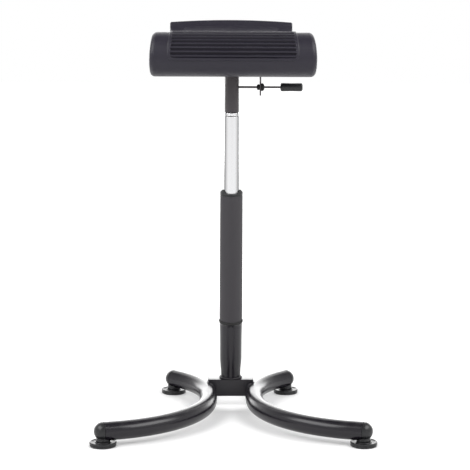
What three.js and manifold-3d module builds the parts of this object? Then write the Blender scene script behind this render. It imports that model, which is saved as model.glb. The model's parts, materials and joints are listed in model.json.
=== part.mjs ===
// Perch stool: a moulded foam saddle seat on a gas-sprung column, standing on two bent leg tubes.
// Millimetres, +Z up. The origin is on the floor, on the column's axis. The ribbed roll faces -Y.
import * as THREE from 'three';
import { mergeVertices } from 'three/addons/utils/BufferGeometryUtils.js';
import Module from 'manifold-3d';

const wasm = await Module();
wasm.setup();

const degrees = (angle) => angle * Math.PI / 180;

// Gaps, cuts and facet counts
const fit = 0.3;
const overrun = 2;
const sidesLarge = 32;
const sidesSmall = 20;
const sidesTiny = 12;
const cornerSteps = 5;
const roundSteps = 3;

// Leg tubes: a short straight ahead of the column, with one bend each way from its ends
const legTubeD = 38.2;
const legWall = 2.5;
const legUnderside = 11;
const legRearRise = 3.4;
const legInnerX = 49.9;
const legBowY = -81;
const legStraight = 26.6;
const frontBendR = 259.4;
const rearBendR = 218;
const frontSweep = degrees(73.4);
const rearSweep = degrees(45.6);
const frontReach = 47;
const rearReach = 36;
const legSteps = 26;
const legSides = 24;
const legBoreSides = 16;

// End caps with the collar that carries a glide
const domeLength = 19.1;
const domeRings = 5;
const plugLength = 12;
const plugSlack = 0.8;
const padInset = 18.3;
const collarR = 14.7;
const pillarR = 6;

// Glides
const glideR = 27.6;
const glideHeight = 9.4;
const glideGrooveLow = 4.6;
const glideGrooveHigh = 5.4;
const glideGrooveDepth = 1;
const glideEdge = 1.2;
const glideStemR = 4;
const glideStemRise = 17;

// Crossbeam between the leg tubes, coped against both, its top a little above their crowns
const beamWidth = 44;
const beamHeight = 37.5;
const beamUnderside = 21.5;
const beamWall = 3;
const beamBite = 9.5;

// Socket welded on the crossbeam
const socketNeckR = 21.5;
const socketBodyR = 24;
const socketMouthR = 24.7;
const socketWall = 2.5;
const socketNeckLength = 10.2;
const socketConeLength = 36;
const socketHeight = 122.4;
const socketMouthLength = 34;
const weldWidth = 3.6;
const weldHeight = 4.2;

// Standing tube, its floor and the thrust bearing on it
const standingTubeWall = 1.9;
const standingTubeRise = 15.2;
const floorThickness = 3;
const raceThickness = 2;
const cageThickness = 3;
const bearingR = 12;
const bufferR = 11;
const bufferHeight = 12;
const clipR = 9;
const clipThickness = 1.6;

// Trim ring, cover and guide cap
const ringHeight = 10;
const ringBulge = 1.5;
const coverR = 25.1;
const coverLength = 273.7;
const capRim = 6.4;
const capSlope = 8;
const capLipWall = 1.4;
const bushLength = 70;

// Gas spring
const springTubeR = 16.75;
const springTubeWall = 2;
const springVisible = 160;
const springInside = 226;
const springTopWall = 8;
const grooveHeight = 2;
const grooveDepth = 1.5;
const rollHeight = 5.8;
const rollInset = 1;
const coneLength = 40;
const coneFootR = 12.9;
const coneTopR = 12.4;
const rodR = 5;
const rodTail = 8;
const rodHead = 5;
const guideHeight = 14;
const pistonHeight = 10;
const strokeRest = 2;
const buttonPinR = 3.5;
const buttonHeadR = 5;
const buttonHeadHeight = 6.8;
const buttonDome = 1.6;
const buttonReach = 12;

// Post under the seat
const postFootR = 15.65;
const postTopR = 15.15;
const postLength = 122;
const postWall = 2.4;
const postRound = 2.2;

// Release lever
const leverAngle = degrees(4);
const leverRodR = 2.25;
const leverHeight = 54.4;
const leverPivotX = 61.4;
const leverInnerEnd = 8;
const leverSlack = 0.6;
const gripStart = 105;
const gripLength = 48.4;
const gripR = 9.1;
const gripChamfer = 2.4;
const gripGrasp = 41;
const bracketThickness = 3;
const bracketWidth = 26;
const bracketBelow = 18.3;
const bracketFlange = 22;
const bracketCorner = 8;
const grommetNeckR = 5;
const grommetInnerR = 6.35;
const grommetInnerLength = 5.6;
const grommetOuterR = 8.3;
const grommetOuterLength = 7;
const grommetRound = 2;

// Seat plate and its screws
const plateLength = 168;
const plateDepth = 100;
const plateCentreY = 22;
const plateThickness = 3;
const plateCorner = 14;
const screwSpacingX = 100;
const screwSpacingY = 70;
const screwHeadR = 6;
const screwHeadHeight = 3.6;
const screwShankR = 3;
const screwBite = 16;
const screwHeadRound = 1.4;

// Seat: a front roll, a shallow dip and a rear lip, seen from the side
const rollR = 46.6;
const rollY = -95;
const rollDrop = 1.6;
const panWaistY = 52;
const lipInnerY = 113;
const lipRise = 72;
const lipR = 7;
const lipLean = degrees(27);
const lipFaceLength = 50;
const dipFrontLength = 45;
const panRearY = 102;
const panCorner = 9;
const panFrontY = -34;
const rollTuckLength = 18;
const rollStart = degrees(-50);
const rollEnd = degrees(60);
const rollHalfWidth = 175.4;
const waistHalfWidth = 127;
const lipHalfWidth = 136.3;
const lipArch = 5;
const rollEndCrown = 3.9;
const rollEndWidestDrop = 15;
const rollEndRound = 8;
const lipEndRound = 3.5;

// Seat: the raised, ribbed panel
const panelShare = 0.79;
const panelFootShare = 0.81;
const panelRise = 1.9;
const panelEdge = 3;
const panelFrontAngle = degrees(-12);
const firstGrooveAngle = degrees(-4.5);
const grooveCount = 15;
const groovePitch = 7.7;
const ribGrooveWidth = 3;
const ribGrooveDepth = 1.5;
const panelRearDrop = 12;
const seatSteps = { front: 7, dip: 7, lip: 5, back: 2, corner: 3, flat: 3, tuck: 5 };

// Heights worked out from the sizes above
const legR = legTubeD / 2;
const legAxisZ = legUnderside + legR;
const beamTop = beamUnderside + beamHeight;
const socketFoot = beamTop + fit;
const socketTop = socketFoot + socketHeight;
const socketConeFoot = socketFoot + socketNeckLength;
const socketConeTop = socketConeFoot + socketConeLength;
const standingTubeR = socketBodyR - socketWall - fit;
const standingTubeFootR = socketNeckR - socketWall - fit;
const standingTubeFoot = socketFoot + standingTubeRise;
const floorTop = standingTubeFoot + floorThickness;
const ringFoot = socketTop + fit;
const ringTop = ringFoot + ringHeight;
const coverFoot = ringTop + fit;
const coverTop = coverFoot + coverLength;
const guideFoot = coverTop + fit;
const guideTop = guideFoot + capRim + capSlope;
const springShoulder = guideTop + springVisible;
const springFoot = guideTop - springInside;
const springTop = springShoulder + grooveHeight + rollHeight;
const coneTop = springTop + coneLength;
const postFoot = springTop + fit;
const postTop = postFoot + postLength;
const leverZ = postFoot + leverHeight;
const plateFoot = postTop + fit;
const panUnderside = plateFoot + plateThickness + fit;
const rollZ = panUnderside + rollDrop;
const rodTop = springFoot + fit + guideHeight + strokeRest + pistonHeight + rodHead;

// Finishes, as a table of colour, roughness and metalness
const finishes = {
  glossBlack: { color: 0x17171a, roughness: 0.22, metalness: 0.3 },
  matteGrey: { color: 0x47464a, roughness: 0.6, metalness: 0 },
  satinBlack: { color: 0x232226, roughness: 0.45, metalness: 0.2 },
  chrome: { color: 0xe6e7ea, roughness: 0.08, metalness: 1 },
  steel: { color: 0x9a9b9e, roughness: 0.35, metalness: 1 },
  blackPlastic: { color: 0x1c1c1f, roughness: 0.55, metalness: 0 },
  rubber: { color: 0x161617, roughness: 0.8, metalness: 0 },
  foam: { color: 0x37353f, roughness: 0.5, metalness: 0 },
};

// Tools that make and check closed solids

/** Welds equal vertices, drops empty triangles and turns the faces outwards. */
function closed(geometry) {
  const bare = geometry.clone();
  bare.deleteAttribute('normal');
  bare.deleteAttribute('uv');
  const welded = mergeVertices(bare);
  const index = welded.index.array;
  const kept = [];
  const a = new THREE.Vector3();
  const b = new THREE.Vector3();
  const c = new THREE.Vector3();
  let volume = 0;
  for (let i = 0; i < index.length; i += 3) {
    const [p, q, r] = [index[i], index[i + 1], index[i + 2]];
    if (p === q || q === r || r === p) continue;
    kept.push(p, q, r);
    a.fromBufferAttribute(welded.attributes.position, p);
    b.fromBufferAttribute(welded.attributes.position, q);
    c.fromBufferAttribute(welded.attributes.position, r);
    volume += a.dot(b.cross(c));
  }
  if (volume < 0) {
    for (let i = 0; i < kept.length; i += 3) {
      [kept[i + 1], kept[i + 2]] = [kept[i + 2], kept[i + 1]];
    }
  }
  welded.setIndex(kept);
  return welded;
}

/** A closed geometry as a solid that can be cut and joined. */
function solidOf(geometry) {
  const shell = closed(geometry);
  return new wasm.Manifold(new wasm.Mesh({
    numProp: 3,
    vertProperties: new Float32Array(shell.attributes.position.array),
    triVerts: new Uint32Array(shell.index.array),
  }));
}

/** A cut or joined solid as a geometry again. */
function geometryOf(solid) {
  const mesh = solid.getMesh();
  const geometry = new THREE.BufferGeometry();
  geometry.setAttribute('position', new THREE.BufferAttribute(mesh.vertProperties, 3));
  geometry.setIndex(new THREE.BufferAttribute(mesh.triVerts, 1));
  return geometry;
}

/** One body of revolution about +Z, from a list of [radius, height] pairs. */
function turned(profile, sides) {
  const points = profile.map(([radius, height]) => new THREE.Vector2(radius, height));
  return new THREE.LatheGeometry(points, sides).rotateX(Math.PI / 2);
}

/** A tube or ring about +Z: its profile closes on itself. */
function turnedRing(profile, sides) {
  return turned([...profile, profile[0]], sides);
}

/** A plain ring about +Z between two radii and two heights. */
function ring(innerR, outerR, low, high, sides) {
  return turnedRing([[innerR, low], [outerR, low], [outerR, high], [innerR, high]], sides);
}

/** A plain round bar about +Z between two heights. */
function bar(radius, low, high, sides) {
  return turned([[0, low], [radius, low], [radius, high], [0, high]], sides);
}

/** Points of an arc in a [radius, height] profile. */
function arcOf(centreR, centreZ, radius, from, to, steps) {
  const points = [];
  for (let i = 0; i <= steps; i += 1) {
    const angle = from + (to - from) * i / steps;
    points.push([centreR + radius * Math.cos(angle), centreZ + radius * Math.sin(angle)]);
  }
  return points;
}

/** The corners of a regular polygon, for the section of a tube. */
function roundSection(radius, sides) {
  const points = [];
  for (let i = 0; i < sides; i += 1) {
    const angle = 2 * Math.PI * i / sides;
    points.push(new THREE.Vector2(radius * Math.cos(angle), radius * Math.sin(angle)));
  }
  return points;
}

/** A rounded rectangle centred on the origin. */
function roundedRectangle(width, height, corner) {
  const x = width / 2;
  const y = height / 2;
  const shape = new THREE.Shape();
  shape.moveTo(-x + corner, -y);
  shape.lineTo(x - corner, -y);
  shape.absarc(x - corner, -y + corner, corner, -Math.PI / 2, 0, false);
  shape.lineTo(x, y - corner);
  shape.absarc(x - corner, y - corner, corner, 0, Math.PI / 2, false);
  shape.lineTo(-x + corner, y);
  shape.absarc(-x + corner, y - corner, corner, Math.PI / 2, Math.PI, false);
  shape.lineTo(-x, -y + corner);
  shape.absarc(-x + corner, -y + corner, corner, Math.PI, Math.PI * 1.5, false);
  return shape;
}

/** Runs smoothly from 0 at low to 1 at high. */
function ramp(value, low, high) {
  const share = Math.min(1, Math.max(0, (value - low) / (high - low)));
  return share * share * (3 - 2 * share);
}

const stool = new THREE.Group();

/** Adds one named piece to the stool. */
function add(name, geometry, finish) {
  const shell = closed(geometry);
  shell.computeVertexNormals();
  const mesh = new THREE.Mesh(shell, new THREE.MeshStandardMaterial(finishes[finish]));
  mesh.name = name;
  stool.add(mesh);
  return mesh;
}

// Leg tubes

const legLead = legStraight / 2;
const frontTubeEnd = legLead + frontBendR * frontSweep + frontReach - domeLength;
const rearTubeEnd = legLead + rearBendR * rearSweep + rearReach - domeLength;

/** A place on the tube's centreline as seen from above, by the distance from the straight's middle. */
function legPlan(distance) {
  const rear = distance > 0;
  const towards = rear ? 1 : -1;
  const bendR = rear ? rearBendR : frontBendR;
  const along = Math.abs(distance) - legLead;
  const angle = Math.min(Math.max(along, 0) / bendR, rear ? rearSweep : frontSweep);
  const beyond = along - bendR * angle;
  const out = bendR * (1 - Math.cos(angle)) + beyond * Math.sin(angle);
  const back = legLead + bendR * Math.sin(angle) + beyond * Math.cos(angle);
  return { x: legInnerX + out, y: legBowY + towards * back, angle, towards };
}

const legFrontY = legPlan(-frontTubeEnd).y;
const legRearY = legPlan(rearTubeEnd).y;

/** A place on the tube's centreline and its heading. The tube climbs a little towards its rear end. */
function legPlace(distance, side) {
  const { x, y, angle, towards } = legPlan(distance);
  const climb = legRearRise * (y - legFrontY) / (legRearY - legFrontY);
  return {
    point: new THREE.Vector3(side * x, y, legAxisZ + climb),
    heading: Math.atan2(towards * Math.cos(angle), side * Math.sin(angle)),
  };
}

class LegLine extends THREE.Curve {
  constructor(side) {
    super();
    this.side = side;
  }

  getPoint(share, target = new THREE.Vector3()) {
    const length = frontTubeEnd + rearTubeEnd - 2 * fit;
    return target.copy(legPlace(fit - frontTubeEnd + share * length, this.side).point);
  }
}

/** The space that a leg tube fills, out to a radius. */
function legSweep(side, radius, sides, boreRadius = 0) {
  const section = new THREE.Shape(roundSection(radius, sides));
  const boreCornerR = boreRadius / Math.cos(Math.PI / legBoreSides);
  if (boreRadius) section.holes.push(new THREE.Path(roundSection(boreCornerR, legBoreSides)));
  return new THREE.ExtrudeGeometry(section, { steps: legSteps, extrudePath: new LegLine(side) });
}

const arms = [
  { name: 'front', end: -frontTubeEnd },
  { name: 'rear', end: rearTubeEnd },
];
const flanks = [
  { name: 'left', side: -1 },
  { name: 'right', side: 1 },
];

/** A piece built along +X from a tube's end is turned and moved to an arm's end. */
function atArmEnd(geometry, arm, side) {
  const { point, heading } = legPlace(arm.end, side);
  return geometry.clone().rotateZ(heading).translate(point.x, point.y, point.z);
}

const padBack = domeLength - padInset;

/** The cap that closes a tube's end: dome, plug and the collar over the glide. */
function endCap(arm, side, envelope) {
  const along = (geometry) => geometry.rotateY(Math.PI / 2);
  const axisZ = legPlace(arm.end, side).point.z;
  const dome = [];
  for (let i = 0; i <= domeRings; i += 1) {
    const angle = Math.PI / 2 * i / domeRings;
    dome.push([i === domeRings ? 0 : legR * Math.cos(angle), domeLength * Math.sin(angle)]);
  }
  const plugR = legR - legWall - plugSlack;
  const body = along(turned([[0, -plugLength], [plugR, -plugLength], [plugR, 0], ...dome], legSides));
  const collarFoot = glideHeight + fit - axisZ;
  const collar = bar(collarR, collarFoot, 0, sidesSmall).translate(padBack, 0, 0);
  const pillar = bar(pillarR, collarFoot, 0, sidesTiny).translate(padBack, 0, 0);
  const boreTop = glideHeight + glideStemRise + fit - axisZ;
  const bore = bar(glideStemR + fit, collarFoot - overrun, boreTop, sidesTiny).translate(padBack, 0, 0);
  const placed = (geometry) => solidOf(atArmEnd(geometry, arm, side));
  return placed(collar).subtract(envelope).add(placed(body)).add(placed(pillar)).subtract(placed(bore));
}

/** The glide: a stepped disc on the floor, with its stem up in the collar. */
function glide() {
  const rimR = glideR - glideEdge;
  const grooveR = glideR - glideGrooveDepth;
  return turned([
    [0, 0],
    [rimR, 0],
    [glideR, glideEdge],
    [glideR, glideGrooveLow],
    [grooveR, glideGrooveLow],
    [grooveR, glideGrooveHigh],
    [glideR, glideGrooveHigh],
    [glideR, glideHeight - glideEdge],
    [rimR, glideHeight],
    [glideStemR, glideHeight],
    [glideStemR, glideHeight + glideStemRise],
    [0, glideHeight + glideStemRise],
  ], sidesLarge);
}

const envelopes = {};
for (const { name: flank, side } of flanks) {
  const envelope = solidOf(legSweep(side, legR + fit, legSides));
  envelopes[flank] = envelope;
  let tube = solidOf(legSweep(side, legR, legSides, legR - legWall));
  for (const arm of arms) {
    const notch = bar(pillarR + fit, -legR - overrun, 0, sidesTiny).translate(padBack, 0, 0);
    tube = tube.subtract(solidOf(atArmEnd(notch, arm, side)));
    add(`${arm.name}_${flank}_end_cap`, geometryOf(endCap(arm, side, envelope)), 'blackPlastic');
    const foot = glide().translate(padBack, 0, -legPlace(arm.end, side).point.z);
    add(`${arm.name}_${flank}_glide`, atArmEnd(foot, arm, side), 'blackPlastic');
  }
  add(`${flank}_leg`, geometryOf(tube), 'glossBlack');
}

// Crossbeam
/** Half the crossbeam's length at a place behind or ahead of the column, where the tubes part. */
function beamReach(y) {
  const angle = Math.asin((y - legBowY - legLead) / rearBendR);
  return legInnerX + rearBendR * (1 - Math.cos(angle)) - legR + beamBite;
}

/** A level block with the crossbeam's slanted ends, drawn in by a wall. */
function beamBlock(wall) {
  const y = beamWidth / 2 - wall;
  const front = beamReach(-y) - wall;
  const rear = beamReach(y) - wall;
  const plan = new THREE.Shape();
  plan.moveTo(-front, -y);
  plan.lineTo(front, -y);
  plan.lineTo(rear, y);
  plan.lineTo(-rear, y);
  const depth = beamHeight - wall * 2;
  return new THREE.ExtrudeGeometry(plan, { depth, bevelEnabled: false })
    .translate(0, 0, beamUnderside + wall);
}

const beam = solidOf(beamBlock(0)).subtract(solidOf(beamBlock(beamWall)))
  .subtract(envelopes.left)
  .subtract(envelopes.right);
add('cross_beam', geometryOf(beam), 'glossBlack');

// Socket on the crossbeam
add('hub_socket', turnedRing([
  [socketNeckR - socketWall, socketFoot],
  [socketNeckR + weldWidth, socketFoot],
  [socketNeckR + weldWidth, socketFoot + weldHeight / 3],
  [socketNeckR + weldWidth / 3, socketFoot + weldHeight * 2 / 3],
  [socketNeckR, socketFoot + weldHeight],
  [socketNeckR, socketConeFoot],
  [(socketNeckR + socketBodyR) / 2, (socketConeFoot + socketConeTop) / 2],
  [socketBodyR, socketConeTop],
  [socketBodyR, socketTop - socketMouthLength],
  [socketMouthR, socketTop],
  [socketBodyR - socketWall, socketTop],
  [socketBodyR - socketWall, socketConeTop],
  [socketNeckR - socketWall, socketConeFoot],
], sidesLarge), 'glossBlack');

// Standing tube: its foot is drawn in to seat in the socket's cone, with a floor for the bearing
const standingBoreR = standingTubeR - standingTubeWall;
const standingFootBoreR = standingTubeFootR - standingTubeWall;
add('standing_tube', turnedRing([
  [rodR + fit, standingTubeFoot],
  [standingTubeFootR, standingTubeFoot],
  [standingTubeR, socketConeTop],
  [standingTubeR, coverTop],
  [standingBoreR, coverTop],
  [standingBoreR, socketConeTop],
  [standingFootBoreR, floorTop],
  [rodR + fit, floorTop],
], sidesLarge), 'steel');

// Trim ring, cover and guide cap
const ringMid = ringFoot + ringHeight / 2;
add('cover_ring', turnedRing([
  [standingTubeR + fit, ringFoot],
  [socketMouthR, ringFoot],
  [coverR + ringBulge * 2 / 3, ringFoot + ringHeight / 4],
  [coverR + ringBulge, ringMid],
  [coverR + ringBulge, ringTop - ringHeight / 4],
  [coverR + ringBulge / 3, ringTop],
  [standingTubeR + fit, ringTop],
], sidesLarge), 'rubber');

add('column_cover', ring(standingTubeR + fit, coverR, coverFoot, coverTop, sidesLarge), 'matteGrey');

add('guide_cap', turnedRing([
  [springTubeR + fit, guideFoot - bushLength],
  [standingBoreR - fit, guideFoot - bushLength],
  [standingBoreR - fit, guideFoot],
  [coverR, guideFoot],
  [coverR, guideFoot + capRim],
  [springTubeR + fit + capLipWall, guideTop],
  [springTubeR + fit, guideTop],
], sidesLarge), 'blackPlastic');

// Thrust bearing, buffer and clip round the piston rod
const rodBoreR = rodR + fit;
const lowerRaceFoot = floorTop + fit;
const cageFoot = lowerRaceFoot + raceThickness + fit;
const upperRaceFoot = cageFoot + cageThickness + fit;
const bufferFoot = upperRaceFoot + raceThickness + fit;
const clipTop = standingTubeFoot - fit;
const roundRod = (outerR, foot, height) => ring(rodBoreR, outerR, foot, foot + height, sidesSmall);
add('bearing_lower_race', roundRod(bearingR, lowerRaceFoot, raceThickness), 'steel');
add('bearing_cage', roundRod(bearingR, cageFoot, cageThickness), 'blackPlastic');
add('bearing_upper_race', roundRod(bearingR, upperRaceFoot, raceThickness), 'steel');
add('rubber_buffer', roundRod(bufferR, bufferFoot, bufferHeight), 'rubber');
add('retaining_clip', roundRod(clipR, clipTop - clipThickness, clipThickness), 'steel');

// Piston rod, piston and the guide at the gas spring's lower end
const rodFoot = clipTop - rodTail;
const springBoreR = springTubeR - springTubeWall;
const springGuideFoot = springFoot + fit;
const pistonFoot = springGuideFoot + guideHeight + strokeRest;
add('piston_rod', bar(rodR, rodFoot, rodTop, sidesSmall), 'steel');
add('piston', roundRod(springBoreR - fit, pistonFoot, pistonHeight), 'steel');
add('rod_guide', roundRod(springBoreR - fit, springGuideFoot, guideHeight), 'steel');

// Chrome gas-spring tube with its rolled end, and the cone that the post sits on
const rolledR = springTubeR - rollInset;
const springChamberTop = springShoulder - springTopWall;
add('spring_tube', turnedRing([
  [springBoreR, springFoot],
  [springTubeR, springFoot],
  [springTubeR, springShoulder - grooveHeight / 2],
  [springTubeR - grooveDepth, springShoulder + grooveHeight / 2],
  [rolledR, springShoulder + grooveHeight],
  ...arcOf(rolledR - rollHeight / 3, springTop - rollHeight / 3, rollHeight / 3, 0, Math.PI / 2, roundSteps),
  [coneFootR, springTop],
  [coneTopR, coneTop],
  [buttonPinR + fit, coneTop],
  [buttonPinR + fit, springChamberTop],
  [springBoreR, springChamberTop],
], sidesLarge), 'chrome');

// Release button: a pin through the cone under the lever
const buttonTop = leverZ - leverRodR - fit;
const buttonHeadFoot = buttonTop - buttonHeadHeight;
add('valve_button', turned([
  [0, springTop - buttonReach],
  [buttonPinR, springTop - buttonReach],
  [buttonPinR, buttonHeadFoot],
  [buttonHeadR, buttonHeadFoot],
  [buttonHeadR, buttonTop - buttonDome],
  [buttonHeadR / 2, buttonTop - buttonDome / 4],
  [0, buttonTop],
], sidesSmall), 'steel');

// Post: a tapered tube on the gas spring's cone, with a slot for the lever
const postBoreFootR = coneFootR + fit;
const postBoreTopR = postTopR - postWall;
const postTube = turnedRing([
  [postBoreFootR, postFoot],
  ...arcOf(postFootR - postRound, postFoot + postRound, postRound, -Math.PI / 2, 0, roundSteps),
  [postTopR, postTop],
  [postBoreTopR, postTop],
  [postBoreTopR, coneTop + fit],
], sidesLarge);
const leverDrop = leverPivotX * Math.sin(leverAngle);
const slotFoot = leverZ - leverRodR - leverDrop - leverSlack;
const slotTop = leverZ + leverRodR + leverSlack;
const slotWidth = (leverRodR + leverSlack) * 2;
const slot = new THREE.BoxGeometry(postFootR + overrun, slotWidth, slotTop - slotFoot)
  .translate((postFootR + overrun) / 2, 0, (slotFoot + slotTop) / 2);
add('seat_post', geometryOf(solidOf(postTube).subtract(solidOf(slot))), 'satinBlack');

// Release lever: rod and grip along +X
const alongLever = (geometry) => geometry.rotateY(Math.PI / 2).translate(0, 0, leverZ);
add('lever_rod', alongLever(bar(leverRodR, -leverInnerEnd, gripStart + gripGrasp, sidesTiny)), 'satinBlack');
const gripEnd = gripStart + gripLength;
const gripBoreEnd = gripStart + gripGrasp + fit;
add('lever_grip', alongLever(turned([
  [0, gripEnd],
  [gripR - gripChamfer, gripEnd],
  [gripR, gripEnd - gripChamfer],
  [gripR, gripStart + gripChamfer],
  [gripR - gripChamfer, gripStart],
  [leverRodR + fit, gripStart],
  [leverRodR + fit, gripBoreEnd],
  [0, gripBoreEnd],
], sidesSmall)), 'blackPlastic');

// Bracket that hangs from the seat plate and holds the lever's pivot
const bracketTop = postTop;
const bracketFoot = leverZ - bracketBelow;
const bracketLeft = leverPivotX - bracketThickness / 2;
const bracketRight = leverPivotX + bracketThickness / 2;
const bracketOutline = new THREE.Shape();
bracketOutline.moveTo(bracketTop, -bracketWidth / 2);
bracketOutline.lineTo(bracketTop, bracketWidth / 2);
bracketOutline.lineTo(bracketFoot + bracketCorner, bracketWidth / 2);
bracketOutline.absarc(bracketFoot + bracketCorner, bracketWidth / 2 - bracketCorner, bracketCorner,
  Math.PI / 2, Math.PI, false);
bracketOutline.absarc(bracketFoot + bracketCorner, -bracketWidth / 2 + bracketCorner, bracketCorner,
  Math.PI, Math.PI * 1.5, false);
const bracketHole = new THREE.Path(roundSection(grommetNeckR + fit, sidesTiny)
  .map((corner) => corner.add(new THREE.Vector2(leverZ, 0))));
bracketOutline.holes.push(bracketHole);
const bracketPlate = new THREE.ExtrudeGeometry(bracketOutline,
  { depth: bracketThickness, bevelEnabled: false, curveSegments: cornerSteps })
  .rotateY(-Math.PI / 2)
  .translate(bracketRight, 0, 0);
const bracketTab = new THREE.BoxGeometry(bracketFlange, bracketWidth, bracketThickness)
  .translate(bracketLeft + bracketFlange / 2, 0, bracketTop - bracketThickness / 2);
add('lever_bracket', geometryOf(solidOf(bracketPlate).add(solidOf(bracketTab))), 'satinBlack');

// Grommet: its bore opens towards both ends, so that the rod can rock in it
const grommetStart = bracketLeft - fit - grommetInnerLength;
const grommetEnd = bracketRight + fit + grommetOuterLength;
const grommetBoreR = leverRodR + fit;
const boreFlare = (end) => grommetBoreR + Math.abs(end - leverPivotX) * Math.tan(leverAngle);
add('lever_grommet', alongLever(turnedRing([
  [boreFlare(grommetStart), grommetStart],
  [grommetInnerR - grommetRound, grommetStart],
  [grommetInnerR, grommetStart + grommetRound],
  [grommetInnerR, bracketLeft - fit],
  [grommetNeckR, bracketLeft - fit],
  [grommetNeckR, bracketRight + fit],
  [grommetOuterR, bracketRight + fit],
  [grommetOuterR, grommetEnd - grommetRound],
  [grommetOuterR - grommetRound, grommetEnd],
  [boreFlare(grommetEnd), grommetEnd],
  [grommetBoreR, leverPivotX],
], sidesSmall)), 'rubber');

// Seat plate with four screws up into the foam
const screwPlaces = [];
for (const { name: flank, side } of flanks) {
  for (const { name, towards } of [{ name: 'front', towards: -1 }, { name: 'rear', towards: 1 }]) {
    const x = side * screwSpacingX / 2;
    screwPlaces.push({ name: `${name}_${flank}`, x, y: plateCentreY + towards * screwSpacingY / 2 });
  }
}
const plateOutline = roundedRectangle(plateLength, plateDepth, plateCorner);
for (const { x, y } of screwPlaces) {
  plateOutline.holes.push(new THREE.Path(roundSection(screwShankR + fit, sidesTiny)
    .map((corner) => corner.add(new THREE.Vector2(x, y - plateCentreY)))));
}
const plate = new THREE.ExtrudeGeometry(plateOutline,
  { depth: plateThickness, bevelEnabled: false, curveSegments: cornerSteps });
add('seat_plate', plate.translate(0, plateCentreY, plateFoot), 'satinBlack');

const screwHeadTop = plateFoot - fit;
const screwTip = panUnderside + screwBite;
for (const { name, x, y } of screwPlaces) {
  add(`${name}_seat_screw`, turned([
    [0, screwHeadTop - screwHeadHeight],
    [screwHeadR - screwHeadRound, screwHeadTop - screwHeadHeight],
    [screwHeadR, screwHeadTop - screwHeadHeight + screwHeadRound],
    [screwHeadR, screwHeadTop],
    [screwShankR, screwHeadTop],
    [screwShankR, screwTip],
    [0, screwTip],
  ], sidesTiny).translate(x, y, 0), 'steel');
}

// Seat cushion

const lipTop = panUnderside + lipRise;
const lipFace = new THREE.Vector2(Math.sin(lipLean), Math.cos(lipLean));
const lipCentre = new THREE.Vector2(lipInnerY + lipR * lipFace.y, lipTop - lipR);
const lipInnerZ = lipCentre.y + lipR * lipFace.x;

/** The seat's side outline, from behind the roll, round its front, over the dip to the lip and back. */
function seatOutline() {
  const onRoll = (angle) => new THREE.Vector2(rollY + rollR * Math.cos(angle), rollZ + rollR * Math.sin(angle));
  const start = onRoll(rollStart);
  const end = onRoll(rollEnd);
  const line = new THREE.Path();
  line.moveTo(start.x, start.y);
  line.absarc(rollY, rollZ, rollR, rollStart, rollEnd, true);
  line.bezierCurveTo(
    end.x + dipFrontLength * Math.sin(rollEnd),
    end.y - dipFrontLength * Math.cos(rollEnd),
    lipInnerY - lipFaceLength * lipFace.x,
    lipInnerZ - lipFaceLength * lipFace.y,
    lipInnerY,
    lipInnerZ,
  );
  line.absarc(lipCentre.x, lipCentre.y, lipR, Math.PI - lipLean, -lipLean, true);
  line.lineTo(panRearY + panCorner * lipFace.x, panUnderside + panCorner * lipFace.y);
  line.quadraticCurveTo(panRearY, panUnderside, panRearY - panCorner, panUnderside);
  line.lineTo(panFrontY, panUnderside);
  line.bezierCurveTo(
    panFrontY - rollTuckLength,
    panUnderside,
    start.x - rollTuckLength * Math.sin(rollStart),
    start.y + rollTuckLength * Math.cos(rollStart),
    start.x,
    start.y,
  );
  return line;
}

/** How far the seat is turned into its rear lip, from 0 at the dip to 1 at the lip. */
const lipShareAt = (y) => ramp(y, panWaistY, lipInnerY);

/** Half the seat's width at a depth. */
function halfWidthAt(y) {
  const waist = rollHalfWidth + (waistHalfWidth - rollHalfWidth) * ramp(y, rollY, panWaistY);
  return waist + (lipHalfWidth - waistHalfWidth) * lipShareAt(y);
}

/** The distances along the outline at which the mesh has a row, with the panel's height there. */
function seatRows(outline) {
  const lengths = outline.getCurveLengths();
  const onRollAt = (angle) => rollR * (Math.PI + rollStart + angle);
  const rows = [];
  const spread = (from, to, count, lift) => {
    for (let i = 0; i < count; i += 1) rows.push({ at: from + (to - from) * i / count, lift });
  };
  const panelStart = onRollAt(panelFrontAngle);
  spread(0, panelStart, seatSteps.front, 0);
  rows.push({ at: panelStart, lift: 0 });
  rows.push({ at: panelStart + panelEdge, lift: panelRise });
  const firstGroove = onRollAt(firstGrooveAngle);
  for (let i = 0; i < grooveCount; i += 1) {
    const middle = firstGroove + groovePitch * i;
    rows.push({ at: middle - ribGrooveWidth / 2, lift: panelRise });
    rows.push({ at: middle, lift: panelRise - ribGrooveDepth });
    rows.push({ at: middle + ribGrooveWidth / 2, lift: panelRise });
  }
  const lastGroove = firstGroove + groovePitch * (grooveCount - 1) + ribGrooveWidth / 2;
  const dipEnd = lengths[1];
  const panelEnd = dipEnd - panelRearDrop;
  const dipStep = (panelEnd - panelEdge - lastGroove) / seatSteps.dip;
  spread(lastGroove + dipStep, panelEnd - panelEdge, seatSteps.dip - 1, panelRise);
  rows.push({ at: panelEnd - panelEdge, lift: panelRise });
  rows.push({ at: panelEnd, lift: 0 });
  const { lip, back, corner, flat, tuck } = seatSteps;
  [lip, back, corner, flat, tuck].forEach((count, i) => spread(lengths[i + 1], lengths[i + 2], count, 0));
  return rows;
}

/** The columns across the seat: a share of the half width, and the rounding at the two ends. */
function seatColumns() {
  const cornerShare = 1 - Math.SQRT1_2;
  const half = [
    { share: 1, round: 1, back: 0 },
    { share: 1, round: cornerShare, back: cornerShare },
    { share: 1, round: 0, back: 1 },
    { share: panelFootShare, round: 0, back: 0 },
    { share: panelShare, round: 0, back: 0, panel: true },
    { share: panelShare / 2, round: 0, back: 0, panel: true },
  ];
  const mirrored = half.map((column) => ({ ...column, share: -column.share })).reverse();
  return [...half, { share: 0, round: 0, back: 0, panel: true }, ...mirrored];
}

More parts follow.
